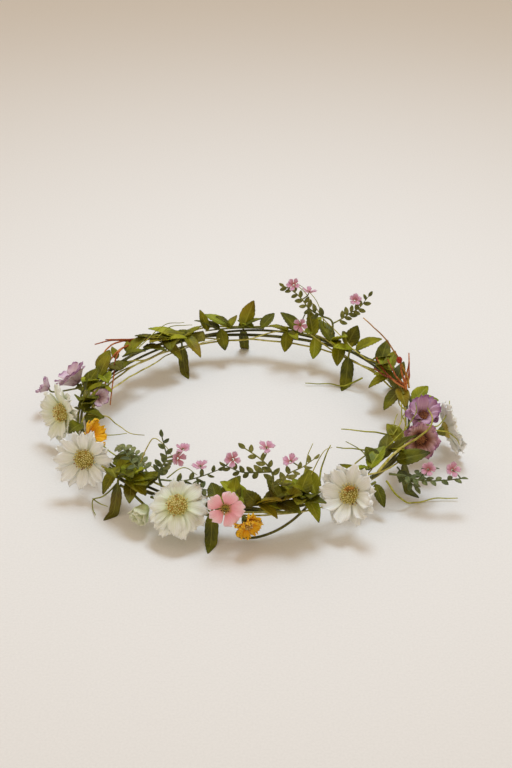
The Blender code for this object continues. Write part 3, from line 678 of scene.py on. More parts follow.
# --- Anemones, the pink flower and the orange ones ------------------------------------------------
# cloth, petals, reach, width, rise, arch, spoon, ruffle, teeth, foot's share of the width, layers, seed
THREADED = {
    "anemone_left": (ANEMONE_PALE, 5, 0.0114, 0.0124, 0.0074, 0.0022, 0.34, 0.0005, 0.0, 0.45, 2, 61),
    "anemone_right_front": (ANEMONE_DARK, 7, 0.0112, 0.0074, 0.0044, 0.0014, 0.24, 0.0016, 0.03, 0.4, 2, 67),
    "anemone_right_back": (ANEMONE_LILAC, 6, 0.0110, 0.0080, 0.0062, 0.0016, 0.28, 0.0018, 0.02, 0.4, 2, 71),
    "rose_front": (ROSE_CLOTH, 5, 0.0104, 0.0084, 0.0018, 0.0014, 0.30, 0.0010, 0.0, 0.24, 1, 79),
    "marigold_front": (MARIGOLD_CLOTH, 9, 0.0087, 0.0044, 0.0022, 0.0008, 0.14, 0.0018, 0.24, 0.35, 2, 83),
    "marigold_left": (MARIGOLD_CLOTH, 7, 0.0088, 0.0058, 0.0056, 0.0010, 0.14, 0.0012, 0.14, 0.4, 2, 89),
}
THREADED_SLOT = {"anemone": "mauve_petal", "rose": "pink_petal", "marigold": "orange_petal"}
EYES = {
    "anemone": (0.0028, 46, 0.0013, EYE_COPPER, (EYE_COPPER, EYE_BROWN)),
    "rose": (0.0018, 26, 0.0008, STAMEN_GREEN, (STAMEN_GREEN, EYE_BROWN)),
    "marigold": (0.0018, 26, 0.0011, STAMEN_RUST, (STAMEN_YELLOW, STAMEN_RUST)),
}

for kind, measures in THREADED.items():
    finish, count, reach, width, rise, arch, spoon, ruffle, teeth, foot, deep, seed = measures
    body = kind + "_head"
    family = kind.split("_")[0]
    head_sizes[body] = (reach, rise)
    layers = []
    for layer in range(deep):
        share = 1.0 - 0.16 * layer
        lifted = seats[body] @ Matrix.Translation((0, 0, -0.0004 + 0.0006 * layer))
        layers.append(
            ring_of(
                kind + "_layer", finish, count, layer * math.pi / count, lifted,
                lambda s, r=reach * share, w=width * share, h=rise * (1.0 + 0.18 * layer): petal(
                    "petal", 0.0010, r, w, h, arch, spoon, ruffle, teeth, s, 11, 11, foot,
                    0.16 if family == "rose" else 0.03,
                ),
                seed + layer, 0.10, 0.05 if family == "rose" else 0.16,
            )
        )
    petals = gathered(kind + "_cloth_petals", layers)
    placed(petals, body, THREADED_SLOT[family], kind + "_petals")
    eye, number, tall, low_finish, tip_finishes = EYES[family]
    raised = seats[body] @ Matrix.Translation((0, 0, 0.0014))
    button = stamens(
        kind + "_eye", raised, eye, number, tall, 0.00011, 0.00026, low_finish, tip_finishes, seed
    )
    placed(button, "crown", "stem_green")


# --- Small blossoms -------------------------------------------------------------------------------
def blossom(name, seat, seed, reach=0.0046):
    return ring_of(
        name, BLOSSOM_CLOTH, 5, 0.0, seat,
        lambda s: petal("petal", 0.0006, reach, 0.0031, 0.0016, 0.0005, 0.2, 0.0005, 0.12, s, 6, 8, 0.35),
        seed, 0.14, 0.25,
    )


# --- Leaves ---------------------------------------------------------------------------------------
def leaf_edge(u, t, width, fullness, serrate):
    """How far from the midrib a point lies on a pointed leaf with eight teeth to a side."""
    half = 0.5 * width * max(0.02, math.sin(math.pi * min(1.0, t**fullness * 0.97 + 0.02))) ** 0.8
    saw = 1 - serrate * (1 - ((t * 8.0) % 1.0)) * abs(u) ** 3
    return u * half * saw


def leaf(name, start, facing, normal, length, width, droop, finish, seed):
    """A pressed leaf: folded along the midrib, toothed, bending down towards its tip."""
    draw = random.Random(seed)
    side = normal.cross(facing).normalized()
    above = facing.cross(side).normalized()
    twist = draw.uniform(-0.5, 0.5)
    fold = draw.uniform(0.22, 0.5)
    curl = draw.uniform(-0.06, 0.10)
    bend = draw.uniform(-0.10, 0.10)

    def shape(u, t):
        across_by = leaf_edge(u, t, width, 0.78, 0.10)
        lift = fold * abs(across_by) - droop * length * t * t + curl * length * t
        lift += 0.00022 * math.cos(46 * (t - 0.25 * abs(u))) * abs(u)
        turn = twist * t
        return (
            start
            + facing * length * t
            + side * (across_by * math.cos(turn) + bend * length * t * t)
            + above * (lift + across_by * math.sin(turn))
        )

    return paint(cloth(name, 8, 18, shape, LEAF_CLOTH), finish)


SPRIG_FINISHES = (LEAF_OLIVE, LEAF_DEEP, LEAF_OLIVE, LEAF_BRIGHT, LEAF_DEEP)
# lane and ends of the stem, leaves as (angle, azimuth, elevation, length, width)
LEAF_SPRIGS = {
    "leaves_front_left": (
        50, -140, -123,
        (
            (-137, -128, -38, 0.0130, 0.0078),
            (-134, -60, 32, 0.0175, 0.0095),
            (-131, -52, 14, 0.0185, 0.0100),
            (-128, 120, 18, 0.0140, 0.0085),
            (-124, 50, 24, 0.0140, 0.0075),
            (-139, -80, 20, 0.0150, 0.0085),
            (-129, -20, 30, 0.0150, 0.0080),
        ),
        ((-134, 1, -128, 0.0075),),
    ),
    "leaves_front": (
        60, -101, -79,
        (
            (-99.5, 100, 16, 0.0135, 0.0080),
            (-95, 65, 50, 0.0135, 0.0080),
            (-90, 150, 40, 0.0170, 0.0100),
            (-87, -130, 55, 0.0150, 0.0090),
            (-80, -28, 42, 0.0165, 0.0095),
            (-85, 20, 20, 0.0170, 0.0090),
            (-92, -170, 22, 0.0160, 0.0085),
        ),
        ((-100.5, 1, -100, 0.0075),),
    ),
    "leaves_front_right": (
        70, -75, -68,
        (
            (-74, 60, 45, 0.0155, 0.0090),
            (-71, -60, -20, 0.0145, 0.0085),
            (-69, -95, 35, 0.0125, 0.0085),
            (-68, 112, 30, 0.0155, 0.0090),
            (-75, -20, 14, 0.0170, 0.0085),
            (-73, 160, 38, 0.0150, 0.0085),
        ),
        (),
    ),
    "leaves_right": (
        120, -46, -23,
        (
            (-45, 150, -12, 0.0145, 0.0065),
            (-41, 120, 35, 0.0110, 0.0090),
            (-40, 160, -40, 0.0125, 0.0080),
            (-31, -60, 28, 0.0125, 0.0085),
            (-25, 120, 30, 0.0125, 0.0075),
            (-44, 60, 25, 0.0160, 0.0095),
            (-36, 75, 35, 0.0150, 0.0085),
        ),
        ((-31, 1, -48, 0.0065),),
    ),
    "leaves_back_right": (
        120, 8, 36,
        (
            (12, 215, -35, 0.0155, 0.0085),
            (22, 190, -22, 0.0145, 0.0085),
            (30, 70, 42, 0.0165, 0.0090),
            (35, -30, 30, 0.0125, 0.0070),
            (26, 95, 30, 0.0150, 0.0085),
            (17, 60, 40, 0.0130, 0.0080),
        ),
        ((32, 1, 20, 0.0065),),
    ),
    "leaves_back": (
        120, 42, 76,
        (
            (44, 15, 28, 0.0165, 0.0085),
            (49, 30, 58, 0.0145, 0.0100),
            (64, 100, 52, 0.0155, 0.0105),
            (63, -95, -58, 0.0135, 0.0085),
            (70, 140, 40, 0.0165, 0.0100),
            (75, -90, -60, 0.0125, 0.0080),
            (56, 120, 35, 0.0160, 0.0095),
            (52, -100, -35, 0.0140, 0.0085),
            (66, 60, 30, 0.0150, 0.0090),
        ),
        ((46, -1, -110, 0.0085),),
    ),
    "leaves_back_left": (
        110, 84, 107,
        (
            (85, 40, 34, 0.0125, 0.0075),
            (92, 55, 48, 0.0175, 0.0100),
            (97, 165, 26, 0.0185, 0.0090),
            (101, -70, -50, 0.0135, 0.0080),
            (106, 130, 58, 0.0135, 0.0055),
            (94, 20, 20, 0.0160, 0.0080),
        ),
        ((92, 1, 80, 0.0065),),
    ),
    "leaves_left_back": (
        115, 114, 126,
        (
            (115, -60, -22, 0.0175, 0.0085),
            (119, 170, 24, 0.0175, 0.0105),
            (122, -90, 16, 0.0165, 0.0105),
            (125, -40, -24, 0.0175, 0.0095),
            (126, 200, 28, 0.0170, 0.0095),
            (124, -120, 30, 0.0170, 0.0100),
        ),
        ((118, -1, -70, 0.0065),),
    ),
    "leaves_left": (
        95, 158, 185,
        (
            (159, -70, 24, 0.0165, 0.0095),
            (172, -20, 35, 0.0145, 0.0090),
            (179, -80, 60, 0.0145, 0.0090),
            (184, -45, 18, 0.0155, 0.0080),
            (161, 60, 40, 0.0150, 0.0085),
            (165, -110, 42, 0.0160, 0.0095),
            (175, 100, 50, 0.0140, 0.0085),
            (168, -40, 20, 0.0150, 0.0090),
        ),
        ((170, 1, 160, 0.0065),),
    ),
}
# how many more leaves each sprig carries between its larger ones
SMALL_LEAVES = {
    "leaves_front_left": 6, "leaves_front": 9, "leaves_front_right": 9, "leaves_right": 4,
    "leaves_back_right": 7, "leaves_back": 8, "leaves_back_left": 4, "leaves_left_back": 9, "leaves_left": 8,
}
OPENING_RADIUS = 0.072
REST_CLEAR = 0.0009
REST_STEPS = ((0.0, None), (0.0015, 0.0100), (0.0050, 0.0003), (0.0120, 0.0002))


def rest_stalk(angle, lane, side):
    middle = 5 if side > 0 else 175
    return [
        lane_point(angle, lane),
        lane_point(angle, (lane + middle) / 2, STEM_LANE + REST_CLEAR),
        lane_point(angle, middle, STEM_LANE + REST_CLEAR),
        lane_point(angle, middle, STEM_LANE + REST_CLEAR) - Vector((0, 0, 0.0015)),
    ]


def rest_leaf(name, start, azimuth, width, finish):
    """A leaf that hangs down from start and comes to lie on the table."""
    run, side = heading(azimuth, 0), heading(azimuth + 90, 0)
    line = [
        start if height is None else Vector((*(start + run * reach).xy, height))
        for reach, height in REST_STEPS
    ]
    path = smooth_path(line, 6)

    def shape(u, t):
        point = path[round(t * (len(path) - 1))] + side * leaf_edge(u, t, width, 0.8, 0.10)
        point.z = max(0.0002, point.z + 0.0003 * (1 - t) * math.cos(3 * u))
        return point

    return paint(cloth(name, 8, len(path) - 1, shape, LEAF_CLOTH), finish)


def clear_of_heads(points):
    """Whether the points stay out of the round that each flower head sweeps as it turns."""
    for body, (reach, rise) in head_sizes.items():
        back = seats[body].inverted()
        for point in points:
            local = back @ point
            far = math.hypot(local.x, local.y)
            if far < reach + 0.0012 and abs(local.z + 0.0004 - rise * (far / reach) ** 1.6) < 0.0030:
                return False
    return True


def small_leaf(name, lane, first, last, draw):
    """A leaf somewhere along the sprig that fits between its neighbours, or None."""
    for _ in range(16):
        angle = draw.uniform(first, last)
        azimuth = angle + draw.choice((-90, 90)) + draw.uniform(-65, 65)
        elevation = draw.uniform(-14, 52)
        length = draw.uniform(0.0105, 0.0165)
        width = length * draw.uniform(0.46, 0.60)
        start = lane_point(angle, lane)
        facing = heading(azimuth, elevation)
        side = UP.cross(facing).normalized() * width * 0.5
        middle = start + facing * length * 0.55
        points = (middle, middle + side, middle - side, start + facing * length)
        if all(p.xy.length > OPENING_RADIUS and p.z > 0.002 for p in points) and clear_of_heads(points):
            finish = draw.choice(SPRIG_FINISHES)
            return leaf(name, start, facing, UP, length, width, 0.14, finish, draw.random())
    return None


for number, (name, (lane, first, last, leaves, resting)) in enumerate(LEAF_SPRIGS.items()):
    steps = max(4, round(abs(last - first) / 2))
    run = [lane_point(first + (last - first) * k / steps, lane) for k in range(steps + 1)]
    parts = [paint(strand(name + "_stem", run, STEM_RADIUS, (0.9, 0.6)), STEM_PLASTIC)]
    for k, (angle, azimuth, elevation, length, width) in enumerate(leaves):
        normal = heading(angle, 15) if abs(elevation) >= 45 else UP
        start = lane_point(angle, lane)
        facing = heading(azimuth, elevation)
        finish = SPRIG_FINISHES[(k + number) % 5]
        parts.append(
            leaf(f"{name}_{k}", start, facing, normal, length, width, 0.14, finish, 100 * number + k)
        )
    draw = random.Random(500 + number)
    extra = [small_leaf(f"{name}_small_{k}", lane, first, last, draw) for k in range(SMALL_LEAVES[name])]
    parts += [found for found in extra if found]
    for k, (angle, side, azimuth, width) in enumerate(resting):
        path = rest_stalk(angle, lane, side)
        parts.append(paint(strand(f"{name}_stalk", smooth_path(path, 4), 0.0006), STEM_PLASTIC))
        foot = path[-1] + Vector((0, 0, 0.0008))
        parts.append(rest_leaf(f"{name}_rest_{k}", foot, azimuth, width, LEAF_DEEP))
    placed(gathered(name + "_cloth", parts), "crown", "leaf_green", name)


# --- Sprays ---------------------------------------------------------------------------------------
SPRAYS = {
    "spray_front_left": (
        (-119.0, 100.0), (-100.0, 93.0), -8.0,
        (
            ((0.0, 0.0), (-0.0012, 0.006), (0.0005, 0.012), (0.0030, 0.017), (0.0010, 0.029)),
            ((-0.0009, 0.0040), (0.010, 0.0042), (0.020, 0.0078), (0.029, 0.0125)),
        ),
        (12, 9),
        ((0.0115, 0.0225), (0.0200, 0.0135)),
    ),
    "spray_front": (
        (-82.0, 100.0), (-95.0, 84.0), 0.0,
        (
            ((0.0, 0.0), (0.0004, 0.008), (0.0, 0.017), (-0.0045, 0.0245), (-0.0130, 0.0325)),
            ((-0.0002, 0.0175), (-0.008, 0.0170), (-0.0155, 0.0175), (-0.0225, 0.0215)),
            ((0.0004, 0.0070), (0.0055, 0.0110), (0.0085, 0.0165), (0.0145, 0.0200), (0.0205, 0.0255)),
        ),
        (10, 9, 9),
        ((-0.0025, 0.0325), (0.0090, 0.0235)),
    ),
    "spray_back": (
        (57.0, 80.0), (75.0, 78.0), 0.0,
        (
            (
                (0.0, 0.0), (-0.0005, 0.0100), (-0.0080, 0.0135), (-0.0150, 0.0175),
                (-0.0190, 0.0225), (-0.0250, 0.0275), (-0.0300, 0.0300),
            ),
            ((-0.0003, 0.0085), (0.0055, 0.0120), (0.0100, 0.0160), (0.0150, 0.0190), (0.0200, 0.0265)),
        ),
        (15, 13),
        ((-0.0150, 0.0270),),
    ),
    "spray_right": (
        (-39.0, -10.0), (-15.0, 5.0), -100.0,
        (
            ((0.0, 0.0), (0.0010, 0.008), (0.0035, 0.016), (0.0030, 0.025), (-0.0005, 0.0370)),
            ((0.0020, 0.0120), (-0.0035, 0.0160), (-0.0070, 0.0215)),
        ),
        (12, 7),
        (),
    ),
}
LEAFLET_LENGTH = 0.0056
LEAFLET_WIDTH = 0.0031
# more blossoms on the sprays: where on the spray's plane, how far above it, facing
MORE_BLOSSOMS = {
    "spray_front_left": ((0.0085, 0.0155, 0.0020, (-60, 30)),),
    "spray_front": ((-0.0190, 0.0245, 0.0010, (-110, 40)),),
    "spray_back": (
        (-0.0245, 0.0300, 0.0010, (-120, 50)),
        (0.0120, 0.0225, 0.0010, (-70, 50)),
        (-0.0190, 0.0030, 0.0040, (-100, 20)),
    ),
    "spray_right": ((-0.0025, 0.0320, 0.0035, (-80, 50)), (0.0, 0.0200, 0.0045, (-95, 40))),
}
SPRAY_FINISHES = {"spray_front_left": SPRAY_PLASTIC, "spray_right": SPRAY_PLASTIC}


def leaflet_shape(u, t):
    half = 0.5 * LEAFLET_WIDTH * max(0.04, math.sin(math.pi * min(1.0, t * 0.95 + 0.03))) ** 0.65
    lift = 0.35 * abs(u * half) - 0.0008 * t * t
    return Vector((LEAFLET_LENGTH * t, u * half, lift))


def along_path(path, place):
    """The point this many steps along the path, and the path's direction there."""
    i = min(int(place), len(path) - 2)
    return path[i].lerp(path[i + 1], place - i), (path[i + 1] - path[i]).normalized()


def set_leaflet(start, facing, normal, size):
    aside = normal.cross(facing).normalized()
    turn = Matrix((facing, aside, facing.cross(aside))).transposed().to_4x4()
    return copied(one_leaflet, Matrix.Translation(start) @ turn @ Matrix.Scale(size, 4))


def scatter(draw):
    return Vector([draw.uniform(-1, 1) for _ in "xyz"])


one_leaflet = cloth("leaflet", 4, 7, leaflet_shape, LEAF_CLOTH)
for name, (base_at, lean, across_to, branches, counts, blossoms) in SPRAYS.items():
    base = lane_point(*base_at)
    up = heading(*lean)
    across = heading(across_to, 0.0)
    across = (across - up * across.dot(up)).normalized()
    normal = across.cross(up)
    draw = random.Random(len(name))
    parts = []
    knots = []
    for number, (points, count) in enumerate(zip(branches, counts)):
        path = smooth_path([base + across * x + up * y for x, y in points], 6)
        knots += [base + across * x + up * y for x, y in points[1:]]
        radius = 0.00068 if number == 0 else 0.00050
        parts.append(strand(f"{name}_branch", wobble(path, 0.0002, 0.004), radius, (1.0, 0.45)))
        clear = 0.30 if number == 0 else 0.18
        for k in range(count):
            share = clear + (1.0 - clear) * k / (count - 1)
            start, along = along_path(path, share * (len(path) - 1))
            side = 0 if k == count - 1 else (1 if k % 2 else -1)
            facing = Quaternion(normal, side * math.radians(56 + draw.uniform(-10, 10))) @ along
            lifted = (normal + 0.25 * side * along + 0.3 * scatter(draw)).normalized()
            size = (1.0 - 0.3 * share) * draw.uniform(0.9, 1.12)
            parts.append(set_leaflet(start, facing, lifted, size))
    for x, y in blossoms:
        seat = base + across * x + up * y
        lower = [p for p in knots if (seat - p).dot(up) > 0.0015]
        start = min(lower, key=lambda p: (seat - p).length)
        path = smooth_path([start, start.lerp(seat, 0.6) + across * 0.0006, seat + up * 0.0009], 5)
        parts.append(strand(f"{name}_pedicel", path, 0.00042, (1.0, 0.8)))
    for number, (x, y, above, facing) in enumerate(MORE_BLOSSOMS[name], 1):
        foot = min(knots, key=lambda p: (base + across * x + up * y - p).length)
        seat = base + across * x + up * y + Vector((0, 0, above))
        path = smooth_path([foot, foot.lerp(seat, 0.5) + Vector((0, 0, 0.0006)), seat], 5)
        parts.append(strand(f"{name}_pedicel", path, 0.00038, (1.0, 0.8)))
        turned = seat_matrix(seat, heading(*facing))
        piece = blossom(f"{name}_side_flower_{number}", turned, 340 + 9 * number)
        placed(piece, name + "_bend", "lilac_blossom")
    finish = SPRAY_FINISHES.get(name, SPRAY_OLIVE)
    placed(paint(gathered(name + "_sprig", parts), finish), name + "_bend", "sprig_green", name)
    for number, (x, y) in enumerate(blossoms, 1):
        seat = seat_matrix(base + across * x + up * y, up)
        piece = blossom(f"{name}_flower_{number}", seat, 300 + 7 * number + len(name))
        placed(piece, name + "_bend", "lilac_blossom", f"{name}_blossom_{number}")

# low fronds that lie along the hoop: places (angle, out, up), leaflets
FRONDS = (
    ((
        (-126, -0.0040, 0.0050), (-130, -0.0070, 0.0090), (-135, -0.0085, 0.0105),
        (-141, -0.0085, 0.0100),
    ), 12),
    ((
        (-112, -0.0030, 0.0040), (-108, -0.0048, 0.0052), (-103, -0.0052, 0.0052),
        (-98, -0.0046, 0.0046),
    ), 10),
    ((
        (-124, -0.0010, 0.0070), (-131, -0.0010, 0.0110), (-138, -0.0050, 0.0120),
        (-144, -0.0080, 0.0090),
    ), 11),
    (((-34, 0.0040, -0.0010), (-34, 0.0090, -0.0050), (-35, 0.0160, -0.0080)), 9),
)
fronds = []
for number, (places, count) in enumerate(FRONDS):
    draw = random.Random(800 + number)
    path = smooth_path([hoop_point(*p) for p in places], 6)
    fronds.append(strand("frond_rib", path, 0.00045, (1.0, 0.5)))
    for k in range(count):
        start, along = along_path(path, (0.18 + 0.82 * k / (count - 1)) * (len(path) - 1))
        normal = (Vector((0, -0.35, 0.94)) + 0.25 * scatter(draw)).normalized()
        side = 0 if k == count - 1 else (1 if k % 2 else -1)
        facing = Quaternion(normal, side * math.radians(60 + draw.uniform(-12, 12))) @ along
        fronds.append(set_leaflet(start, facing, normal, draw.uniform(0.75, 0.95)))
placed(paint(gathered("low_fronds", fronds), SPRAY_PLASTIC), "crown", "sprig_green")
bpy.data.objects.remove(one_leaflet)


# --- Bud ------------------------------------------------------------------------------------------
BUD_SEAT = seat_matrix(hoop_point(-122.0, 0.0110, -0.0062), heading(-125.0, -12.0))
# petals, turn, reach, rise of each layer from the outside in
BUD_LAYERS = ((5, 0.0, 0.0052, 0.0082), (4, 0.4, 0.0036, 0.0090), (3, 0.9, 0.0022, 0.0092))
folds = [
    ring_of(
        "bud_layer", BUD_CLOTH, count, turn, BUD_SEAT @ Matrix.Translation((0, 0, -0.0040)),
        lambda s, r=reach, h=rise: petal(
            "petal", 0.0006, r, 0.0072, h, 0.0006, 0.5, 0.0004, 0.03, s, 7, 9, 0.5
        ),
        400 + count, 0.1,
    )
    for count, turn, reach, rise in BUD_LAYERS
]
core = ball("bud_core", (0, 0, -0.0008), (0.0034, 0.0034, 0.0046), 10, 14)
core.data.transform(BUD_SEAT)
folds.append(paint(core, BUD_CLOTH))
stalk_end = BUD_SEAT @ Vector((0, 0, -0.0044))
bud_route = [
    lane_point(-134, -30),
    lane_point(-130, -30, STEM_LANE + 0.0003),
    stalk_end.lerp(lane_point(-130, -30), 0.3),
    stalk_end,
]
bud_path = smooth_path(bud_route, 6)
folds.append(paint(strand("bud_stalk", bud_path, STEM_RADIUS), STEM_PLASTIC))
placed(gathered("bud_cloth", folds), "crown", "white_petal", "bud_front_left")


# --- Hoop -----------------------------------------------------------------------------------------
RING_STEPS = 240


def twisted(angle, phase, radius):
    return lane_point(angle, phase + TWIST_TURNS * angle, radius)


def ring_strand(name, path, radius, finish):
    """A strand that closes on itself: its last points lie just past its first."""
    return paint(strand(name, path, radius, (1.0, 1.0), 3), finish)


main_path = [twisted(360.0 * k / RING_STEPS, 0.0, TWIST_RADIUS) for k in range(RING_STEPS + 2)]
main_wire = ring_strand("hoop_paper_wire", main_path, WIRE_RADIUS, WIRE_PAPER)
placed(main_wire, "crown", "wire_paper_green", "hoop_wire_main")

EYE_ANGLE = -70.0
EYE_GAP_DEGREES = 2.0
EYE_POINTS = (
    (-73.0, 0.0026, -0.0042),
    (-77.0, 0.0048, -0.0074),
    (-82.0, 0.0068, -0.0106),
    (-87.5, 0.0076, -0.0130),
    (-92.0, 0.0064, -0.0136),
    (-93.0, 0.0042, -0.0122),
    (-90.0, 0.0024, -0.0096),
    (-85.5, 0.0018, -0.0072),
)
turn_by = 360.0 - EYE_GAP_DEGREES
loop_path = [
    twisted(EYE_ANGLE + EYE_GAP_DEGREES + turn_by * k / RING_STEPS, 180.0, TWIST_RADIUS)
    for k in range(RING_STEPS + 1)
]
loop_path += smooth_path([loop_path[-1], *[hoop_point(a, out, up) for a, out, up in EYE_POINTS]], 8)[1:]
loop_wire = paint(strand("hoop_loop_wire", loop_path, LOOP_WIRE_RADIUS, (1, 1), 3), WIRE_PAPER)
placed(loop_wire, "crown", "wire_paper_green", "hoop_wire_loop_end")

straws = []
for number, (lane, sway, waves, radius, reach) in enumerate(
    (
        (-125, 12, 7, 0.00052, 0.0045),
        (-150, 110, 4, 0.00040, 0.0046),
        (150, 130, 3, 0.00045, 0.0047),
    )
):
    path = [
        lane_point(k * 1.5, lane + sway * math.sin(math.radians(waves * k * 1.5)), reach)
        for k in range(242)
    ]
    path = wobble(path, 0.0006, 0.011 + 0.003 * number)
    straws.append(paint(strand("vine", path, radius, (1, 1), 1), VINE_STRAW))
placed(gathered("vine_strands", straws), "crown", "green_straw", "straw_ring")

TAPE_ANGLES = (-107.0, 20.0, 110.5)
TAPE_DEGREES = 6.0
TAPE_OUTER_RADIUS = 0.0032


def creases(share):
    """How the tape's wraps make its radius swell and shrink along the sleeve."""
    return 1.0 + 0.04 * math.sin(40 * share) + 0.02 * math.sin(93 * share)


for number, angle in enumerate(TAPE_ANGLES, 1):
    path = [hoop_point(angle - TAPE_DEGREES / 2 + TAPE_DEGREES * k / 16) for k in range(17)]
    sleeve = paint(strand(f"tape_{number}", path, TAPE_OUTER_RADIUS, (1, 1), 4, creases), TAPE_PAPER)
    placed(sleeve, "crown", "floral_tape", f"binding_tape_{number}")


# --- Twigs, grass and tendrils --------------------------------------------------------------------
# strands of (angle, out, up) places
STRANDS = {
    "twigs_left": (
        TWIG_BARK, 0.00060, "red_twig",
        (
            (
                (128, 0.0045, 0.0045), (137, 0.0055, 0.0060), (146, 0.0020, 0.0068),
                (156, -0.0060, 0.0040), (168, -0.0105, -0.0060),
            ),
            ((131, 0.0048, 0.0048), (139, 0.0090, 0.0080), (146, 0.0110, 0.0060), (150, 0.0090, -0.0040)),
            ((134, 0.0050, 0.0055), (140, 0.0130, 0.0080), (145, 0.0200, 0.0070)),
            ((129, 0.0045, 0.0050), (137, 0.0075, 0.0085), (143, 0.0150, 0.0100)),
            ((133, 0.0050, 0.0055), (144, 0.0040, 0.0070), (155, -0.0010, 0.0060), (163, -0.0050, 0.0010)),
        ),
    ),
    "twigs_right": (
        TWIG_BARK, 0.00060, "red_twig",
        (
            ((9, -0.0010, 0.0062), (14, 0.0015, 0.0072), (20, 0.0045, 0.0080), (27, 0.0060, 0.0095)),
            (
                (9, 0.0010, 0.0064), (11, 0.0006, 0.0120), (15, -0.0026, 0.0198),
                (23, -0.0070, 0.0285), (33, -0.0125, 0.0360),
            ),
            ((11, -0.0004, 0.0066), (14, -0.0010, 0.0120), (18, 0.0, 0.0170)),
            ((9, -0.0010, 0.0062), (13, -0.0050, 0.0075), (22, -0.0070, 0.0080), (29, -0.0060, 0.0110)),
            ((10, -0.0010, 0.0064), (12, 0.0020, 0.0110), (15, 0.0030, 0.0155), (19, 0.0060, 0.0190)),
            ((11, -0.0010, 0.0066), (16, -0.0040, 0.0100), (23, -0.0040, 0.0135)),
            ((9, -0.0010, 0.0064), (12, -0.0020, 0.0130), (15, -0.0022, 0.0195)),
            ((10, -0.0010, 0.0066), (14, 0.0030, 0.0090), (21, 0.0080, 0.0120)),
            ((12, -0.0005, 0.0068), (18, -0.0080, 0.0075), (25, -0.0110, 0.0085)),
            ((8, -0.0010, 0.0062), (12, 0.0006, 0.0125), (13, 0.0020, 0.0190)),
        ),
    ),
    "grass_right": (
        GRASS_STRAW, 0.00050, "green_straw",
        (
            ((-34, -0.0048, 0.0020), (-28, -0.0062, 0.0060), (-18, -0.0040, 0.0105), (-12, -0.0060, 0.0170)),
            ((-31, -0.0056, 0.0040), (-38, -0.0140, 0.0060), (-46, -0.0235, 0.0080)),
            ((-25, -0.0055, 0.0080), (-32, -0.0170, 0.0120), (-40, -0.0265, 0.0150)),
        ),
    ),
}
for name, (finish, radius, slot_name, strands) in STRANDS.items():
    parts = []
    for number, places in enumerate(strands):
        path = smooth_path([hoop_point(*p) for p in places], 8)
        part = strand(name, wobble(path, 0.0005, 0.006), radius, (1.0, 0.55))
        parts.append(paint(part, TWIG_GOLD if (name, number) == ("twigs_right", 1) else finish))
    placed(gathered(name + "_dry", parts), "crown", slot_name, name)


bead = ball("bead", hoop_point(15, -0.0026, 0.0198), (0.0017, 0.0017, 0.0021), 8, 12)
placed(paint(bead, BERRY_RED), "crown", "red_twig")

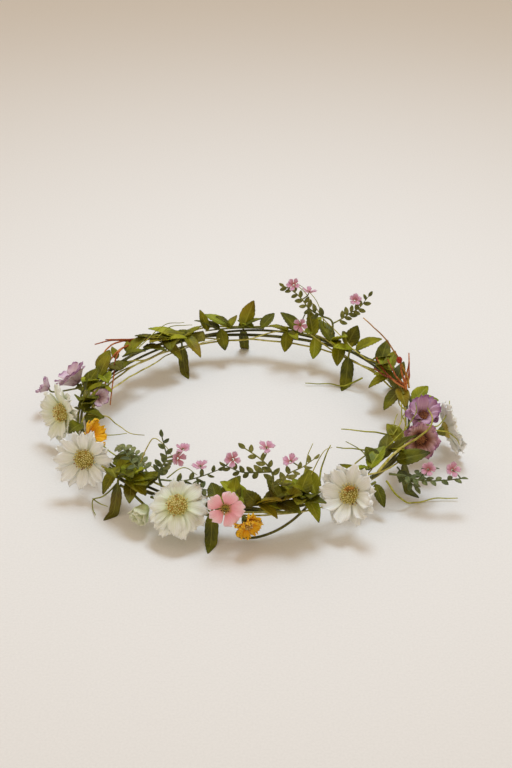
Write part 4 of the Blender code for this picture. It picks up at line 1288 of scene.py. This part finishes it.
# loose straws: radius, then (angle, out, up) places
TENDRILS = (
    (0.00042, (
        (-171, -0.0020, 0.0070), (-168, -0.0117, 0.0075), (-165, -0.0165, 0.0040),
        (-161, -0.0216, 0.0005), (-158, -0.0298, -0.0010),
    )),
    (0.00040, ((-165, -0.0010, 0.0050), (-159, -0.0084, 0.0035), (-160, -0.0207, 0.0010))),
    (0.00050, (
        (-158, -0.0010, 0.0050), (-153, -0.0035, 0.0045), (-147, -0.0066, 0.0020),
        (-140, -0.0080, 0.0015), (-133, -0.0062, 0.0020),
    )),
    (0.00045, (
        (-140, -0.0020, 0.0040), (-135, -0.0053, 0.0060), (-130, -0.0075, 0.0080),
        (-126, -0.0105, 0.0055),
    )),
    (0.00045, (
        (-136, 0.0030, -0.0030), (-138, 0.0100, -0.0090), (-141, 0.0130, -0.0130),
        (-139, 0.0159, -0.0155), (-136, 0.0188, -0.0155),
    )),
    (0.00038, ((-141, 0.0134, -0.0120), (-139, 0.0105, -0.0150), (-137, 0.0090, -0.0155))),
    (0.00040, (
        (-131, -0.0040, 0.0050), (-130, -0.0090, 0.0150), (-128, -0.0125, 0.0225),
        (-124, -0.0150, 0.0190), (-122, -0.0165, 0.0130),
    )),
    (0.00036, ((-119, -0.0060, 0.0060), (-115, -0.0120, 0.0105), (-110, -0.0160, 0.0060))),
    (0.00040, (
        (-73, -0.0020, 0.0060), (-69, -0.0100, 0.0120), (-66, -0.0150, 0.0170), (-63, -0.0170, 0.0220),
    )),
    (0.00036, (
        (-71, -0.0020, 0.0060), (-65, -0.0100, 0.0130), (-60, -0.0130, 0.0175), (-56, -0.0130, 0.0180),
    )),
    (0.00055, (
        (-66, -0.0020, 0.0050), (-62, -0.0110, 0.0090), (-59, -0.0130, 0.0150), (-57, -0.0125, 0.0200),
    )),
    (0.00045, (
        (-41, -0.0040, 0.0030), (-39, -0.0106, 0.0045), (-38, -0.0172, 0.0055), (-37, -0.0250, 0.0060),
    )),
    (0.00045, (
        (-46, -0.0115, 0.0020), (-40, -0.0102, 0.0050), (-35, -0.0060, 0.0070), (-27, -0.0040, 0.0080),
    )),
    (0.00050, (
        (-19, 0.0060, 0.0130), (-16, 0.0130, 0.0085), (-13, 0.0162, 0.0075), (-7, 0.0190, 0.0080),
        (-2, 0.0200, 0.0090),
    )),
    (0.00045, (
        (-19, 0.0060, 0.0130), (-17, 0.0140, 0.0080), (-15, 0.0205, 0.0050), (-14, 0.0250, 0.0010),
        (-15, 0.0280, -0.0030),
    )),
    (0.00080, (
        (-44, 0.0030, 0.0040), (-36, 0.0050, 0.0110), (-28, 0.0120, 0.0150), (-20, 0.0130, 0.0160),
        (-13, 0.0080, 0.0165),
    )),
    (0.00050, (
        (-43, -0.0040, 0.0040), (-36, -0.0030, 0.0080), (-27, 0.0010, 0.0130), (-18, 0.0030, 0.0165),
        (-12, 0.0020, 0.0180),
    )),
    (0.00055, (
        (-42, 0.0060, -0.0020), (-40, 0.0150, -0.0120), (-36, 0.0180, -0.0160), (-31, 0.0270, -0.0155),
        (-29, 0.0350, -0.0155),
    )),
    (0.00045, (
        (30, -0.0010, 0.0050), (40, -0.0040, 0.0040), (54, 0.0010, 0.0080), (65, 0.0065, 0.0170),
        (71, 0.0117, 0.0250), (76, 0.0150, 0.0290),
    )),
    (0.00036, (
        (60, 0.0020, 0.0090), (64, 0.0090, 0.0150), (69, 0.0160, 0.0210), (75, 0.0180, 0.0270),
    )),
    (0.00055, (
        (37, -0.0070, -0.0080), (43, -0.0130, -0.0150), (50, -0.0170, -0.0155), (59, -0.0248, -0.0155),
    )),
    (0.00050, (
        (166, -0.0060, -0.0010), (146, -0.0120, -0.0010), (136, -0.0130, -0.0010), (127, -0.0110, 0.0),
        (114, -0.0090, 0.0), (102, -0.0080, 0.0010),
    )),
    (0.00036, (
        (142, -0.0030, 0.0040), (131, -0.0022, 0.0110), (123, 0.0005, 0.0130), (115, 0.0015, 0.0110),
    )),
    (0.00036, ((130, -0.0020, 0.0060), (121, -0.0006, 0.0110), (112, -0.0002, 0.0085))),
    (0.00055, (
        (-44, -0.0030, 0.0040), (-36, -0.0060, 0.0060), (-27, -0.0050, 0.0050), (-18, -0.0060, 0.0080),
    )),
    (0.00050, (
        (-46, -0.0040, 0.0030), (-38, -0.0035, 0.0060), (-28, -0.0065, 0.0030), (-20, -0.0045, 0.0060),
    )),
    (0.00050, (
        (-42, -0.0060, 0.0020), (-33, -0.0055, 0.0050), (-24, -0.0080, 0.0050), (-14, -0.0070, 0.0110),
    )),
)
loose = []
for number, (radius, places) in enumerate(TENDRILS):
    path = wobble(smooth_path([hoop_point(*p) for p in places], 8), 0.0008, 0.009)
    finish = GRASS_STRAW if number % 3 and radius < 0.0007 else VINE_STRAW
    loose.append(paint(strand("tendril", path, radius, (1.0, 0.45), 1), finish))
placed(gathered("loose_tendrils", loose), "crown", "green_straw")

# single leaves: angle, lane, azimuth, elevation, length, width, cloth
LONE_LEAVES = (
    (-34, 40, -2, 14, 0.0180, 0.0100, LEAF_DEEP),
    (0, 90, -8, 24, 0.0150, 0.0100, LEAF_BRIGHT),
    (2, 70, 40, 30, 0.0130, 0.0090, LEAF_BRIGHT),
    (-44, 130, -150, -4, 0.0150, 0.0034, LEAF_DEEP),
    (-46, -20, -62, -35, 0.0130, 0.0060, LEAF_DEEP),
    (-50, 60, 175, 34, 0.0150, 0.0078, LEAF_OLIVE),
    (-172, -20, -150, -20, 0.0200, 0.0070, LEAF_OLIVE),
    (-168, 60, -110, 20, 0.0150, 0.0085, LEAF_DEEP),
    (176, 70, -95, 30, 0.0150, 0.0085, LEAF_DEEP),
    (180, 100, -60, 40, 0.0140, 0.0085, LEAF_OLIVE),
    (172, 80, -20, 30, 0.0130, 0.0085, LEAF_DEEP),
    (168, 40, 60, 40, 0.0140, 0.0090, LEAF_OLIVE),
    (-178, 60, 30, 30, 0.0120, 0.0080, LEAF_DEEP),
    (-172, 100, -30, 20, 0.0130, 0.0080, LEAF_DEEP),
    (150, 60, -60, 20, 0.0160, 0.0100, LEAF_DEEP),
    (155, 30, 70, 40, 0.0140, 0.0095, LEAF_OLIVE),
    (144, 90, -20, 30, 0.0150, 0.0095, LEAF_DEEP),
    (146, 120, -90, 10, 0.0140, 0.0085, LEAF_DEEP),
    (139, 60, 40, 25, 0.0150, 0.0090, LEAF_OLIVE),
    (134, 100, -20, 5, 0.0150, 0.0080, LEAF_DEEP),
    (-142, 110, -30, 20, 0.0150, 0.0080, LEAF_DEEP),
    (-137, 60, 20, 25, 0.0150, 0.0085, LEAF_OLIVE),
    (146, 60, 120, 45, 0.0080, 0.0050, LEAF_OLIVE),
    (140, 60, 100, 40, 0.0075, 0.0045, LEAF_OLIVE),
)
lone = []
for number, (angle, lane, azimuth, elevation, length, width, finish) in enumerate(LONE_LEAVES):
    start, facing = lane_point(angle, lane), heading(azimuth, elevation)
    points = [start + facing * length * share for share in (0.4, 0.7, 1.0)]
    if clear_of_heads(points):
        up_side = Vector((0, -0.5 if angle < 0 else 0.0, 0.85))
        made = leaf(f"lone_{number}", start, facing, up_side, length, width, 0.1, finish, 700 + number)
        lone.append(made)
placed(gathered("lone_leaves", lone), "crown", "leaf_green")

# two small mauve flowers beside the left anemone: angle, out, up, facing
SMALL_MAUVE = ((167, 0.0262, -0.0010, (175, 30)), (174, -0.0060, 0.0040, (-60, 30)))
for number, (angle, out, up, facing) in enumerate(SMALL_MAUVE, 1):
    seat = seat_matrix(hoop_point(angle, out, up), heading(*facing))
    petals = ring_of(
        "small_mauve", ANEMONE_PALE, 5, 0.3, seat,
        lambda s: petal(
            "petal", 0.0008, 0.0062, 0.0056, 0.0046, 0.0010, 0.3, 0.0010, 0.03, s, 8, 9, 0.45
        ),
        600 + number, 0.12, 0.12,
    )
    route = [lane_point(angle, 60), seat @ Vector((0, 0, -0.0040)), seat @ Vector((0, 0, 0.0004))]
    path = smooth_path(route, 6)
    stalk = paint(strand("small_mauve_stalk", path, 0.0005), STEM_PLASTIC)
    placed(gathered(f"small_mauve_flower_{number}", [petals, stalk]), "crown", "mauve_petal")


# --- Stems ----------------------------------------------------------------------------------------
for name, node in frame["nodes"].items():
    if name.endswith("_stem"):
        node.data.materials.clear()
        node.data.materials.append(STEM_PLASTIC)


# --- Table, light and camera ----------------------------------------------------------------------
deselect()
bpy.ops.mesh.primitive_plane_add(size=8.0)
table = bpy.context.object
table.name = "table"
made, tree = new_finish("matt_warm_white_table")
object_space = add(tree, "ShaderNodeTexCoord").outputs["Object"]
tooth = add(tree, "ShaderNodeTexNoise", Vector=object_space, Scale=900.0, Detail=2.0)
tone = stops(add(tree, "ShaderNodeValToRGB", Fac=tooth.outputs[0]), (0.3, "#E9E7E5"), (0.7, "#EEECEA"))
shader(tree, {"Roughness": 0.9, "Specular IOR Level": 0.2}, Base_Color=tone.outputs[0])
paint(table, made)


def lamp(name, size, power, place, aim, colour, spread):
    light = bpy.data.lights.new(name, "AREA")
    light.shape = "DISK"
    light.size = size
    light.energy = power
    light.color = colour
    light.spread = math.radians(spread)
    obj = bpy.data.objects.new(name, light)
    obj.location = place
    obj.rotation_mode = "QUATERNION"
    obj.rotation_quaternion = (Vector(aim) - Vector(place)).to_track_quat("-Z", "Y")
    bpy.context.collection.objects.link(obj)


lamp("window_above", 0.55, 1.65, (0.12, 0.42, 1.35), (0, 0, 0), (0.68, 0.84, 1.0), 70)
lamp("front_fill", 1.6, 0.35, (-0.4, -1.1, 1.3), (0, -0.1, 0), (1.0, 0.97, 0.92), 120)
world = bpy.data.worlds.new("studio")
world.use_nodes = True
world.node_tree.nodes["Background"].inputs["Color"].default_value = (1.0, 0.835, 0.655, 1.0)
world.node_tree.nodes["Background"].inputs["Strength"].default_value = 0.66
bpy.context.scene.world = world
bpy.context.scene.view_settings.view_transform = "Standard"

CAMERA_DISTANCE = 0.8  # from the hoop's centre
CAMERA_HEIGHT_DEGREES = 31.0  # above the table
CAMERA_ASIDE = 0.004417  # shifts that put the hoop off the middle of the view
CAMERA_RAISE = 0.015238
slope = math.radians(CAMERA_HEIGHT_DEGREES)
camera_data = bpy.data.cameras.new("camera")
camera_data.sensor_width = 36.0
camera_data.lens = 67.92
camera = bpy.data.objects.new("camera", camera_data)
camera.location = (
    CAMERA_ASIDE,
    -CAMERA_DISTANCE * math.cos(slope) + CAMERA_RAISE * math.sin(slope),
    HOOP_HEIGHT + CAMERA_DISTANCE * math.sin(slope) + CAMERA_RAISE * math.cos(slope),
)
camera.rotation_euler = (math.radians(90.0 - CAMERA_HEIGHT_DEGREES), 0.0, 0.0)
bpy.context.collection.objects.link(camera)
bpy.context.scene.camera = camera
